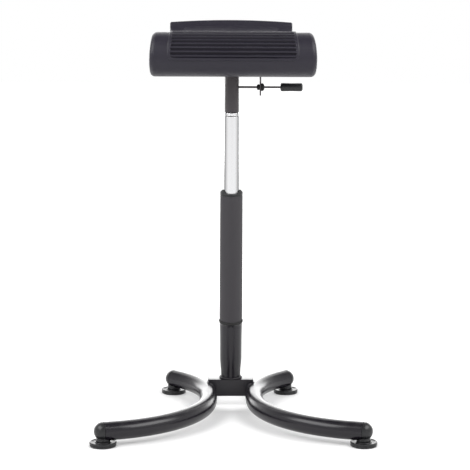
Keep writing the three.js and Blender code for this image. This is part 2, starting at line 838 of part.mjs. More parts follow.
/** One point of the seat's skin. */
function seatPoint(outline, row, column) {
  const share = row.at / outline.getLength();
  const spot = outline.getPoint(share);
  const heading = outline.getTangent(share);
  const lip = lipShareAt(spot.x);
  const endRound = rollEndRound + (lipEndRound - rollEndRound) * lip;
  const lift = (column.panel ? row.lift : 0) - column.round * endRound;
  const y = spot.x - heading.y * lift;
  const offWidest = (spot.y - rollZ + rollEndWidestDrop) / rollR;
  const crown = rollEndCrown * (1 - ramp(spot.x, rollY, panWaistY)) * offWidest ** 2;
  const side = Math.sign(column.share);
  const width = Math.abs(column.share) * (halfWidthAt(spot.x) - crown) - column.back * endRound;
  const arch = lipArch * lip * ramp(spot.y, panUnderside, lipTop) * column.share ** 2;
  const z = spot.y + heading.x * lift - arch;
  return new THREE.Vector3(side * width, y, z);
}

/** Closes one end of the seat with triangles between its upper and its lower edge. */
function endFace(points, start) {
  const front = points.reduce((best, point, i) => (point.y < points[best].y ? i : best), 0);
  const rear = points.reduce((best, point, i) => (point.y > points[best].y ? i : best), 0);
  const count = points.length;
  const triangles = [];
  let upper = front;
  let lower = front;
  while (upper !== rear || lower !== rear) {
    const nextUpper = (upper + 1) % count;
    const nextLower = (lower - 1 + count) % count;
    const upperDone = upper === rear;
    const lowerDone = lower === rear;
    if (lowerDone || (!upperDone && points[nextUpper].y < points[nextLower].y)) {
      triangles.push(start + upper, start + nextUpper, start + lower);
      upper = nextUpper;
    } else {
      triangles.push(start + upper, start + nextLower, start + lower);
      lower = nextLower;
    }
  }
  return triangles;
}

function seatCushion() {
  const outline = seatOutline();
  const rows = seatRows(outline);
  const columns = seatColumns();
  const points = columns.map((column) => rows.map((row) => seatPoint(outline, row, column)));
  const count = rows.length;
  const triangles = [];
  for (let j = 0; j + 1 < columns.length; j += 1) {
    for (let i = 0; i < count; i += 1) {
      const a = j * count + i;
      const b = j * count + (i + 1) % count;
      triangles.push(a, b, a + count, b, b + count, a + count);
    }
  }
  triangles.push(...endFace(points[0], 0).reverse());
  triangles.push(...endFace(points[columns.length - 1], (columns.length - 1) * count));
  const geometry = new THREE.BufferGeometry().setFromPoints(points.flat());
  geometry.setIndex(triangles);
  return geometry;
}

let cushion = solidOf(seatCushion());
for (const { x, y } of screwPlaces) {
  const bore = bar(screwShankR + fit, panUnderside - overrun, screwTip + fit, sidesTiny).translate(x, y, 0);
  cushion = cushion.subtract(solidOf(bore));
}
add('seat_cushion', geometryOf(cushion), 'foam');

export default stool;
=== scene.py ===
"""Perch stool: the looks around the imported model, for Blender 4.5.

Metres, +Z up. The origin is on the floor under the column, and the seat's ribbed roll faces -Y.
"""

import json
import logging
import math
from bisect import bisect
from collections.abc import Callable, Sequence
from dataclasses import dataclass
from enum import Enum
from typing import NamedTuple

import bpy
from mathutils import Matrix, Vector
from mathutils.geometry import delaunay_2d_cdt


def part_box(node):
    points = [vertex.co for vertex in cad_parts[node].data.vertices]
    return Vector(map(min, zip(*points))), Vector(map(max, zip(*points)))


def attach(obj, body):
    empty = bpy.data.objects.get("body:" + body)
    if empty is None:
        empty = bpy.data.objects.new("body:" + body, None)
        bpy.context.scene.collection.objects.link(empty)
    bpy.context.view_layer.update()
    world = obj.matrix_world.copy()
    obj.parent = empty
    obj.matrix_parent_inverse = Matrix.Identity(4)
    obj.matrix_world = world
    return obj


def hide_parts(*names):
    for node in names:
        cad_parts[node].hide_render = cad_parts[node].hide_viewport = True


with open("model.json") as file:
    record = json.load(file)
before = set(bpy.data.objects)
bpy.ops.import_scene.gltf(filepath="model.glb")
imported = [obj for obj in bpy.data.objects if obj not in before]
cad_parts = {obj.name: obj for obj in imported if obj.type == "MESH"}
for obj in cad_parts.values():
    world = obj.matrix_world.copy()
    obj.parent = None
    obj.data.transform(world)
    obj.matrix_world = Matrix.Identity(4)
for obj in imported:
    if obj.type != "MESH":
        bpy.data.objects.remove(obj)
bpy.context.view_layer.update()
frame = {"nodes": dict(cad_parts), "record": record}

LOG = logging.getLogger("perch_stool")
MM = 0.001
GAP = 0.3 * MM  # the clearance between neighbouring solids
TINY = 1e-7  # metres; shorter lengths count as none
SHARP = 40.0  # degrees; edges that bend more stay sharp
# the foam's material darkens its colour by this attribute as painted shade in the grooves
HOLLOW = "hollow"  # the seat mesh's attribute: how deep in a groove each point is
WHITE = (1.0, 1.0, 1.0, 1.0)
DUST_COLOUR = (0.3, 0.29, 0.28)

Point2 = tuple[float, float]
Point3 = tuple[float, float, float]
Corner = tuple[float, float, float]  # two coordinates and the radius of the rounding
Warp = Callable[[Vector], Vector]


class Rider(Enum):
    """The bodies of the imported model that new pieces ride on."""

    BASE = "base"
    SEAT = "seat"
    LEVER = "lever"
    FRONT_LEFT_FOOT = "front_left_foot"
    FRONT_RIGHT_FOOT = "front_right_foot"
    REAR_LEFT_FOOT = "rear_left_foot"
    REAR_RIGHT_FOOT = "rear_right_foot"


class Grain(Enum):
    """The fine textures that a surface can have."""

    SKIN = "moulded skin"
    ORANGE_PEEL = "orange peel"
    POWDER = "textured powder"
    DRAWN = "drawn metal"
    MOULD = "mould texture"


# Meshes


def smoothstep(value: float, low: float, high: float) -> float:
    """Runs smoothly from 0, where the value is low, to 1, where it is high."""
    share = min(1.0, max(0.0, (value - low) / (high - low)))
    return share * share * (3.0 - 2.0 * share)


def spaced(start: float, stop: float, count: int) -> list[float]:
    """Evenly spaced values from start to stop, both included, with count steps between them."""
    return [start + (stop - start) * i / count for i in range(count + 1)]


def half_size(node: str, axis: int = 0) -> float:
    """Half of a CAD node's size along an axis: 0 for X, 1 for Y, 2 for Z."""
    low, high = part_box(node)
    return (high[axis] - low[axis]) / 2.0


def make_object(
    name: str,
    vertices: Sequence[Vector | Point3],
    faces: Sequence[Sequence[int]],
    sharp: float = SHARP,
) -> bpy.types.Object:
    """Makes a mesh object, smooth except at its sharp edges.

    Args:
        name: The object's name.
        vertices: Its points, in metres.
        faces: Its faces, as indices of the points.
        sharp: The angle in degrees from which an edge stays sharp.

    Returns:
        The new object, linked to the scene.
    """
    mesh = bpy.data.meshes.new(name)
    mesh.from_pydata([tuple(v) for v in vertices], [], [tuple(f) for f in faces])
    mesh.validate()
    shade(mesh, sharp)
    obj = bpy.data.objects.new(name, mesh)
    bpy.context.scene.collection.objects.link(obj)
    return obj


def shade(mesh: bpy.types.Mesh, sharp: float) -> None:
    """Shades a mesh smooth, with sharp edges from an angle in degrees."""
    mesh.shade_smooth()
    mesh.set_sharp_from_angle(angle=math.radians(sharp))


def baked(obj: bpy.types.Object, sharp: float = SHARP) -> bpy.types.Object:
    """Applies an object's modifiers to its mesh.

    Args:
        obj: The object.
        sharp: The angle in degrees from which an edge stays sharp.

    Returns:
        The same object, with no modifiers.
    """
    graph = bpy.context.evaluated_depsgraph_get()
    mesh = bpy.data.meshes.new_from_object(obj.evaluated_get(graph))
    obj.modifiers.clear()
    obj.data = mesh
    shade(mesh, sharp)
    return obj


def combined(
    obj: bpy.types.Object,
    other: bpy.types.Object,
    operation: str,
    sharp: float = SHARP,
) -> bpy.types.Object:
    """Cuts an object with another one, or joins them into one closed body.

    Args:
        obj: The object that is kept.
        other: The object that cuts or joins it. It is deleted.
        operation: DIFFERENCE or UNION.
        sharp: The angle in degrees from which an edge stays sharp.

    Returns:
        The first object.
    """
    modifier = obj.modifiers.new("join", "BOOLEAN")
    modifier.operation = operation
    modifier.solver = "EXACT"
    modifier.object = other
    baked(obj, sharp)
    bpy.data.objects.remove(other)
    return obj


def filleted(corners: Sequence[Corner], closed: bool = True, steps: int = 5) -> list[Point2]:
    """Rounds the corners of a profile.

    Args:
        corners: Points of the profile, each with the radius of its rounding, or 0 for none.
        closed: Whether the profile closes on itself.
        steps: How many segments each rounding has.

    Returns:
        The points of the rounded profile.
    """
    points: list[Point2] = []
    count = len(corners)
    for i, (x, y, radius) in enumerate(corners):
        inner = closed or 0 < i < count - 1
        if radius <= 0.0 or not inner:
            points.append((x, y))
            continue
        here = Vector((x, y))
        before = Vector(corners[i - 1][:2]) - here
        after = Vector(corners[(i + 1) % count][:2]) - here
        half = before.angle(after) / 2.0
        most = 0.499 * min(before.length, after.length)
        reach = min(radius / math.tan(half), most)
        first = here + before.normalized() * reach
        last = here + after.normalized() * reach
        for share in spaced(0.0, 1.0, steps):
            bend = first * (1 - share) ** 2 + here * 2 * share * (1 - share) + last * share**2
            points.append((bend.x, bend.y))
    return points


def turned(
    name: str,
    profile: Sequence[Point2],
    sides: int = 96,
    closed: bool = True,
    warp: Warp | None = None,
    sharp: float = SHARP,
) -> bpy.types.Object:
    """Turns a profile about +Z.

    Args:
        name: The object's name.
        profile: Points of (radius, height), in metres.
        sides: How many faces go round.
        closed: Whether the profile closes on itself; otherwise it starts and ends on the axis.
        warp: A function that moves each point, for rims that aren't flat.
        sharp: The angle in degrees from which an edge stays sharp.

    Returns:
        The turned body.
    """
    vertices: list[Vector] = []
    rings: list[list[int]] = []
    for radius, height in profile:
        on_axis = radius < TINY
        ring: list[int] = []
        for i in range(1 if on_axis else sides):
            angle = 2 * math.pi * i / sides
            ring.append(len(vertices))
            point = Vector((radius * math.cos(angle), radius * math.sin(angle), height))
            vertices.append(warp(point) if warp else point)
        rings.append(ring * sides if on_axis else ring)
    faces: list[list[int]] = []
    pairs = list(zip(rings, rings[1:] + rings[:1]))
    for low, high in pairs if closed else pairs[:-1]:
        for i in range(sides):
            j = (i + 1) % sides
            corners = list(dict.fromkeys([low[i], low[j], high[j], high[i]]))
            if len(corners) > 2:
                faces.append(corners)
    return make_object(name, vertices, faces, sharp)


def piped(
    name: str,
    rings: Sequence[Sequence[Vector]],
    looped: bool = False,
    sharp: float = SHARP,
) -> bpy.types.Object:
    """Joins rings of points into one closed body.

    Args:
        name: The object's name.
        rings: Rings with the same number of points each.
        looped: Whether the last ring joins the first one; otherwise both ends are closed.
        sharp: The angle in degrees from which an edge stays sharp.

    Returns:
        The body.
    """
    sides = len(rings[0])
    vertices = [point for ring in rings for point in ring]
    faces: list[list[int]] = []
    count = len(rings)
    for i in range(count if looped else count - 1):
        here = i * sides
        there = (i + 1) % count * sides
        for j in range(sides):
            k = (j + 1) % sides
            faces.append([here + j, here + k, there + k, there + j])
    if not looped:
        faces.append(list(range(sides))[::-1])
        faces.append([(count - 1) * sides + j for j in range(sides)])
    return make_object(name, vertices, faces, sharp)


def refined(node: str, width: float, sharp: float = 30.0) -> bpy.types.Object:
    """Copies a CAD node and rounds its edges.

    Args:
        node: The node's name.
        width: The width of the rounding, in metres.
        sharp: The angle in degrees from which an edge is rounded.

    Returns:
        The copy, which still needs a body and a finish.
    """
    merge = 0.01 * MM
    flatness = math.radians(0.5)
    obj = bpy.data.objects.new(node + "_shaped", frame["nodes"][node].data.copy())
    bpy.context.scene.collection.objects.link(obj)
    obj.data.materials.clear()
    weld = obj.modifiers.new("weld", "WELD")
    weld.merge_threshold = merge
    flat = obj.modifiers.new("flat", "DECIMATE")
    flat.decimate_type = "DISSOLVE"
    flat.angle_limit = flatness
    bevel = obj.modifiers.new("edges", "BEVEL")
    bevel.width = width
    bevel.segments = 3
    bevel.limit_method = "ANGLE"
    bevel.angle_limit = math.radians(sharp)
    bevel.harden_normals = False
    return baked(obj, sharp)


# Finishes


class NodeTree:
    """A small helper that adds and links the nodes of one tree."""

    def __init__(self, tree: bpy.types.NodeTree) -> None:
        """Keeps the node tree to build in."""
        self.tree = tree

    def add(
        self,
        kind: str,
        inputs: dict[str | int, object] | None = None,
        **settings: object,
    ) -> bpy.types.Node:
        """Adds one node.

        Args:
            kind: The node's type.
            inputs: Values or sockets for its inputs, by name or place.
            **settings: The node's own settings.

        Returns:
            The node.
        """
        node = self.tree.nodes.new(kind)
        for name, value in settings.items():
            setattr(node, name, value)
        for name, value in (inputs or {}).items():
            if isinstance(value, bpy.types.NodeSocket):
                self.tree.links.new(value, node.inputs[name])
            else:
                node.inputs[name].default_value = value
        return node

    def math(self, operation: str, *values: object, clamp: bool = False) -> bpy.types.NodeSocket:
        """Adds a Math node over numbers or sockets; clamp keeps its result from 0 to 1."""
        inputs = dict(enumerate(values))
        node = self.add("ShaderNodeMath", inputs, operation=operation, use_clamp=clamp)
        return node.outputs[0]

    def scaled(self, vector: object, factor: object) -> bpy.types.NodeSocket:
        """Adds a node that scales a vector or a colour."""
        node = self.add("ShaderNodeVectorMath", {0: vector, "Scale": factor}, operation="SCALE")
        return node.outputs[0]

    def remap(
        self,
        value: object,
        low: float,
        high: float,
        start: float = 0.0,
        stop: float = 1.0,
    ) -> bpy.types.NodeSocket:
        """Adds a smooth Map Range node.

        Args:
            value: The socket to map.
            low: The value that gives start.
            high: The value that gives stop.
            start: The result at low.
            stop: The result at high.

        Returns:
            Its result.
        """
        ends = {"From Min": low, "From Max": high, "To Min": start, "To Max": stop}
        inputs = {"Value": value, **ends}
        node = self.add("ShaderNodeMapRange", inputs, interpolation_type="SMOOTHSTEP")
        return node.outputs["Result"]

    def place(self, stretch: Point3 = (1.0, 1.0, 1.0)) -> bpy.types.NodeSocket:
        """Adds the object's own coordinates, scaled along each axis."""
        own = self.add("ShaderNodeTexCoord").outputs["Object"]
        return self.add("ShaderNodeMapping", {"Vector": own, "Scale": stretch}).outputs["Vector"]


class Effects:
    """The shader node groups that more than one finish uses, each built once."""

    def __init__(self) -> None:
        """Builds the groups."""
        self.grains = {
            Grain.SKIN: self.skin_grain(),
            Grain.ORANGE_PEEL: self.noise_grain("orange peel grain", 2.0, 0.4),
            Grain.POWDER: self.noise_grain("powder grain", 5.0, 0.75),
            Grain.DRAWN: self.noise_grain("drawn grain", 3.0, 0.6, (1.0, 1.0, 0.02)),
            Grain.MOULD: self.noise_grain("mould grain", 4.0, 0.6),
        }
        self.wear = self.edge_wear()
        self.tone = self.tone_change()
        self.dust = self.dust_film()

    @staticmethod
    def start(
        name: str,
        inputs: dict[str, float],
        output: str,
    ) -> tuple[NodeTree, dict[str, bpy.types.NodeSocket], bpy.types.NodeSocket]:
        """Starts a group with float sockets.

        Args:
            name: The group's name.
            inputs: Its inputs with their default values.
            output: Its one output.

        Returns:
            The tree helper, the inputs' sockets by name, and the output's socket.
        """
        tree = bpy.data.node_groups.new(name, "ShaderNodeTree")
        for socket, value in inputs.items():
            made = tree.interface.new_socket(socket, in_out="INPUT", socket_type="NodeSocketFloat")
            made.default_value = value
        tree.interface.new_socket(output, in_out="OUTPUT", socket_type="NodeSocketFloat")
        source = tree.nodes.new("NodeGroupInput")
        sink = tree.nodes.new("NodeGroupOutput")
        return NodeTree(tree), {s: source.outputs[s] for s in inputs}, sink.inputs[output]

    def noise_grain(
        self,
        name: str,
        detail: float,
        rough: float,
        stretch: Point3 = (1.0, 1.0, 1.0),
    ) -> bpy.types.NodeTree:
        """Builds a grain of plain noise.

        Args:
            name: The group's name.
            detail: The noise's detail.
            rough: The noise's roughness.
            stretch: The scale of the coordinates along each axis.

        Returns:
            The group, from Size in metres to Height.
        """
        tools, source, sink = self.start(name, {"Size": MM}, "Height")
        scale = tools.math("DIVIDE", 1.0, source["Size"])
        place = tools.place(stretch)
        inputs = {"Vector": place, "Scale": scale, "Detail": detail, "Roughness": rough}
        noise = tools.add("ShaderNodeTexNoise", inputs)
        tools.tree.links.new(noise.outputs["Fac"], sink)
        return tools.tree

    def skin_grain(self) -> bpy.types.NodeTree:
        """Builds the fine cells of a moulded foam skin.

        Returns:
            The group, from Size in metres to Height.
        """
        tools, source, sink = self.start("skin grain", {"Size": MM}, "Height")
        scale = tools.math("DIVIDE", 1.0, source["Size"])
        place = tools.place()
        bend = tools.add("ShaderNodeTexNoise", {"Vector": place, "Scale": scale, "Detail": 2.0})
        shift = tools.scaled(bend.outputs["Color"], 0.6 * MM)
        moved = tools.add("ShaderNodeVectorMath", {0: place, 1: shift}, operation="ADD")
        inputs = {"Vector": moved.outputs[0], "Scale": scale}
        cells = tools.add("ShaderNodeTexVoronoi", inputs, feature="DISTANCE_TO_EDGE")
        # Each cell swells from its border; the noise roughens its top.
        pillow = tools.remap(cells.outputs["Distance"], 0.0, 0.3)
        fine = tools.math("MULTIPLY", bend.outputs["Fac"], 0.5)
        tools.tree.links.new(tools.math("ADD", pillow, fine), sink)
        return tools.tree

    def edge_wear(self) -> bpy.types.NodeTree:
        """Builds the mask of rubbed edges.

        Returns:
            The group, from Radius in metres and Amount to Mask.
        """
        tools, source, sink = self.start("edge wear", {"Radius": MM, "Amount": 0.5}, "Mask")
        bevel = tools.add("ShaderNodeBevel", {"Radius": source["Radius"]}, samples=4)
        normal = tools.add("ShaderNodeNewGeometry").outputs["Normal"]
        pair = {0: bevel.outputs[0], 1: normal}
        dot = tools.add("ShaderNodeVectorMath", pair, operation="DOT_PRODUCT")
        # An edge is where the rounded normal leaves the true one; it is rubbed in spots.
        edge = tools.remap(dot.outputs["Value"], 0.995, 0.9)
        inputs = {"Vector": tools.place(), "Scale": 300.0, "Detail": 3.0}
        spots = tools.add("ShaderNodeTexNoise", inputs)
        broken = tools.remap(spots.outputs["Fac"], 0.42, 0.62)
        worn = tools.math("MULTIPLY", tools.math("MULTIPLY", edge, broken), source["Amount"])
        tools.tree.links.new(worn, sink)
        return tools.tree

    def tone_change(self) -> bpy.types.NodeTree:
        """Builds the slow change of tone over a surface.

        Returns:
            The group, from Size in metres to Shift, which varies around 0.
        """
        tools, source, sink = self.start("tone change", {"Size": 0.05}, "Shift")
        scale = tools.math("DIVIDE", 1.0, source["Size"])
        inputs = {"Vector": tools.place(), "Scale": scale, "Detail": 4.0}
        noise = tools.add("ShaderNodeTexNoise", inputs)
        tools.tree.links.new(tools.math("SUBTRACT", noise.outputs["Fac"], 0.5), sink)
        return tools.tree

    def dust_film(self) -> bpy.types.NodeTree:
        """Builds the thin dust that settles on faces that look up.

        Returns:
            The group, from Amount to Mask.
        """
        tools, source, sink = self.start("dust film", {"Amount": 0.1}, "Mask")
        normal = tools.add("ShaderNodeNewGeometry").outputs["Normal"]
        up = tools.add("ShaderNodeSeparateXYZ", {"Vector": normal}).outputs["Z"]
        # Dust lies in clouds on what is nearly level.
        flat = tools.remap(up, 0.35, 0.95)
        inputs = {"Vector": tools.place(), "Scale": 60.0, "Detail": 6.0}
        spots = tools.add("ShaderNodeTexNoise", inputs)
        cloud = tools.remap(spots.outputs["Fac"], 0.35, 0.75)
        film = tools.math("MULTIPLY", tools.math("MULTIPLY", flat, cloud), source["Amount"])
        tools.tree.links.new(film, sink)
        return tools.tree


@dataclass(frozen=True)
class Finish:
    """One finish of the stool, with what its procedural material needs."""

    slot: str
    colour: Point3
    roughness: float
    grain: Grain
    grain_size: float
    grain_depth: float
    metallic: float = 0.0
    specular: float = 0.5
    # rim_shade is painted shade: the colour darkens towards the outline
    rim_shade: float = 0.0
    # hollow_shade is painted shade: colour and specular darken with a groove's depth
    hollow_shade: float = 0.0
    rough_range: float = 0.08
    tone_range: float = 0.12
    tone_size: float = 0.06
    wear: float = 0.3
    wear_radius: float = 1.2 * MM
    wear_colour: Point3 = (0.2, 0.2, 0.2)
    dust: float = 0.04

    def material(self, effects: Effects) -> bpy.types.Material:
        """Builds the material.

        Args:
            effects: The shared node groups.

        Returns:
            The material.
        """
        made = bpy.data.materials.new(self.slot.replace("_", " "))
        made.use_nodes = True
        made.node_tree.nodes.clear()
        tools = NodeTree(made.node_tree)

        def group(tree: bpy.types.NodeTree, **inputs: float) -> bpy.types.NodeSocket:
            """Places a shared group.

            Args:
                tree: The group.
                **inputs: The values of its inputs.

            Returns:
                Its one output.
            """
            node = tools.add("ShaderNodeGroup", node_tree=tree)
            for name, value in inputs.items():
                node.inputs[name].default_value = value
            return node.outputs[0]

        grain = group(effects.grains[self.grain], Size=self.grain_size)
        worn = group(effects.wear, Radius=self.wear_radius, Amount=self.wear)
        tone = group(effects.tone, Size=self.tone_size)
        dust = group(effects.dust, Amount=self.dust)

        bright = tools.math("MULTIPLY_ADD", tone, 2.0 * self.tone_range, 1.0)
        rubbed = self.mixed(tools, worn, tools.scaled(self.colour, bright), self.wear_colour)
        skin = self.mixed(tools, dust, rubbed, DUST_COLOUR)
        rough = tools.math("MULTIPLY_ADD", tone, 2.0 * self.rough_range, self.roughness)
        rough = tools.math("MULTIPLY_ADD", dust, 0.5, rough, clamp=True)
        inputs = {"Height": grain, "Distance": self.grain_depth, "Strength": 1.0}
        bump = tools.add("ShaderNodeBump", inputs)

        shader = tools.add("ShaderNodeBsdfPrincipled")
        shader.inputs["Metallic"].default_value = self.metallic
        shader.inputs["Specular IOR Level"].default_value = self.specular
        links = made.node_tree.links
        # Painted shade: the colour and the specular darken with a groove's depth, standing in for
        # the shade inside the seat's grooves.
        if self.hollow_shade > 0.0:
            hollow = tools.add("ShaderNodeAttribute", attribute_name=HOLLOW).outputs["Fac"]
            lit = tools.math("MULTIPLY_ADD", hollow, -self.hollow_shade, 1.0)
            skin = tools.scaled(skin, lit)
            shine = tools.math("MULTIPLY", lit, self.specular)
            links.new(shine, shader.inputs["Specular IOR Level"])
        # Painted shade: the colour darkens towards the outline, standing in for darker reflections
        # at the rim.
        if self.rim_shade > 0.0:
            facing = tools.add("ShaderNodeLayerWeight").outputs["Facing"]
            skin = tools.scaled(skin, tools.remap(facing, 0.05, 0.5, 1.0, 1.0 - self.rim_shade))
        links.new(skin, shader.inputs["Base Color"])
        links.new(rough, shader.inputs["Roughness"])
        links.new(bump.outputs["Normal"], shader.inputs["Normal"])
        links.new(shader.outputs[0], tools.add("ShaderNodeOutputMaterial").inputs["Surface"])
        return made

    @staticmethod
    def mixed(
        tools: NodeTree,
        share: object,
        first: object,
        second: Point3,
    ) -> bpy.types.NodeSocket:
        """Mixes the first colour, where the mask is 0, with the second, where it is 1."""
        inputs = {0: share, 6: first, 7: (*second, 1.0)}
        return tools.add("ShaderNodeMix", inputs, data_type="RGBA").outputs[2]


FINISHES = (
    Finish(
        slot="charcoal_foam",
        colour=(0.0132, 0.0112, 0.0198),
        roughness=0.4,
        grain=Grain.SKIN,
        grain_size=1.1 * MM,
        grain_depth=0.06 * MM,
        specular=0.35,
        hollow_shade=0.52,
        tone_range=0.1,
        wear=0.12,
        wear_colour=(0.09, 0.088, 0.11),
        dust=0.03,
    ),
    Finish(
        slot="matte_grey_cover",
        colour=(0.0295, 0.0268, 0.031),
        roughness=0.55,
        grain=Grain.MOULD,
        grain_size=0.6 * MM,
        grain_depth=0.03 * MM,
        specular=0.4,
        tone_range=0.05,
        wear=0.15,
        wear_colour=(0.12, 0.12, 0.12),
    ),
    Finish(
        slot="gloss_black_steel",
        colour=(0.0055, 0.0042, 0.0075),
        roughness=0.25,
        specular=0.42,
        grain=Grain.ORANGE_PEEL,
        grain_size=4 * MM,
        grain_depth=0.02 * MM,
        rough_range=0.03,
        wear=0.1,
        wear_colour=(0.1, 0.1, 0.1),
    ),
    Finish(
        slot="satin_black_steel",
        colour=(0.042, 0.035, 0.039),
        roughness=0.45,
        grain=Grain.POWDER,
        grain_size=1.8 * MM,
        grain_depth=0.22 * MM,
        wear=0.35,
        wear_colour=(0.16, 0.155, 0.15),
    ),
    Finish(
        slot="chrome_tube",
        colour=(0.8, 0.8, 0.81),
        roughness=0.22,
        rim_shade=0.6,
        grain=Grain.DRAWN,
        grain_size=0.6 * MM,
        grain_depth=0.004 * MM,
        metallic=1.0,
        rough_range=0.03,
        tone_range=0.02,
        wear=0.0,
        dust=0.01,
    ),
    Finish(
        slot="plain_steel",
        colour=(0.36, 0.36, 0.38),
        roughness=0.35,
        grain=Grain.DRAWN,
        grain_size=0.8 * MM,
        grain_depth=0.01 * MM,
        metallic=1.0,
        wear=0.3,
        wear_colour=(0.6, 0.6, 0.6),
    ),
    Finish(
        slot="black_plastic",
        colour=(0.01, 0.01, 0.0115),
        roughness=0.34,
        specular=0.42,
        grain=Grain.MOULD,
        grain_size=0.9 * MM,
        grain_depth=0.03 * MM,
        wear=0.2,
        wear_colour=(0.08, 0.08, 0.085),
    ),
    Finish(
        slot="black_rubber",
        colour=(0.009, 0.009, 0.009),
        roughness=0.62,
        grain=Grain.MOULD,
        grain_size=0.8 * MM,
        grain_depth=0.04 * MM,
        specular=0.35,
        wear=0.1,
        wear_colour=(0.05, 0.05, 0.05),
    ),
)


class Workshop:
    """Finishes pieces and hands them to the body they ride on."""

    def __init__(self) -> None:
        """Builds every material once."""
        effects = Effects()
        self.materials = {finish.slot: finish.material(effects) for finish in FINISHES}

    def dress(self, obj: bpy.types.Object, slot: str) -> bpy.types.Object:
        """Gives an object one finish.

        Args:
            obj: The object.
            slot: The record's material slot.

        Returns:
            The same object.
        """
        obj.data.materials.clear()
        obj.data.materials.append(self.materials[slot])
        return obj

    def fit(self, obj: bpy.types.Object, slot: str, rider: Rider, *nodes: str) -> bpy.types.Object:
        """Finishes a new piece, lets it ride on a body and hides the nodes that it stands for.

        Args:
            obj: The piece.
            slot: The record's material slot.
            rider: The body that it moves with.
            *nodes: The CAD nodes that it replaces.

        Returns:
            The same piece.
        """
        self.dress(obj, slot)
        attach(obj, rider.value)
        if nodes:
            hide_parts(*nodes)
        LOG.info("%s: %d faces, %s, on %s", obj.name, len(obj.data.polygons), slot, rider.value)
        return obj

    def dress_frame(self) -> None:
        """Gives each CAD node that still shows the finish of its slot in the record."""
        for part in frame["record"]["subparts"]:
            node = frame["nodes"][part["node"]]
            if node.hide_render:
                continue
            shade(node.data, 30.0)
            self.dress(node, part["material_slot"])
            LOG.info("%s: CAD node, %s", node.name, part["material_slot"])


# Base


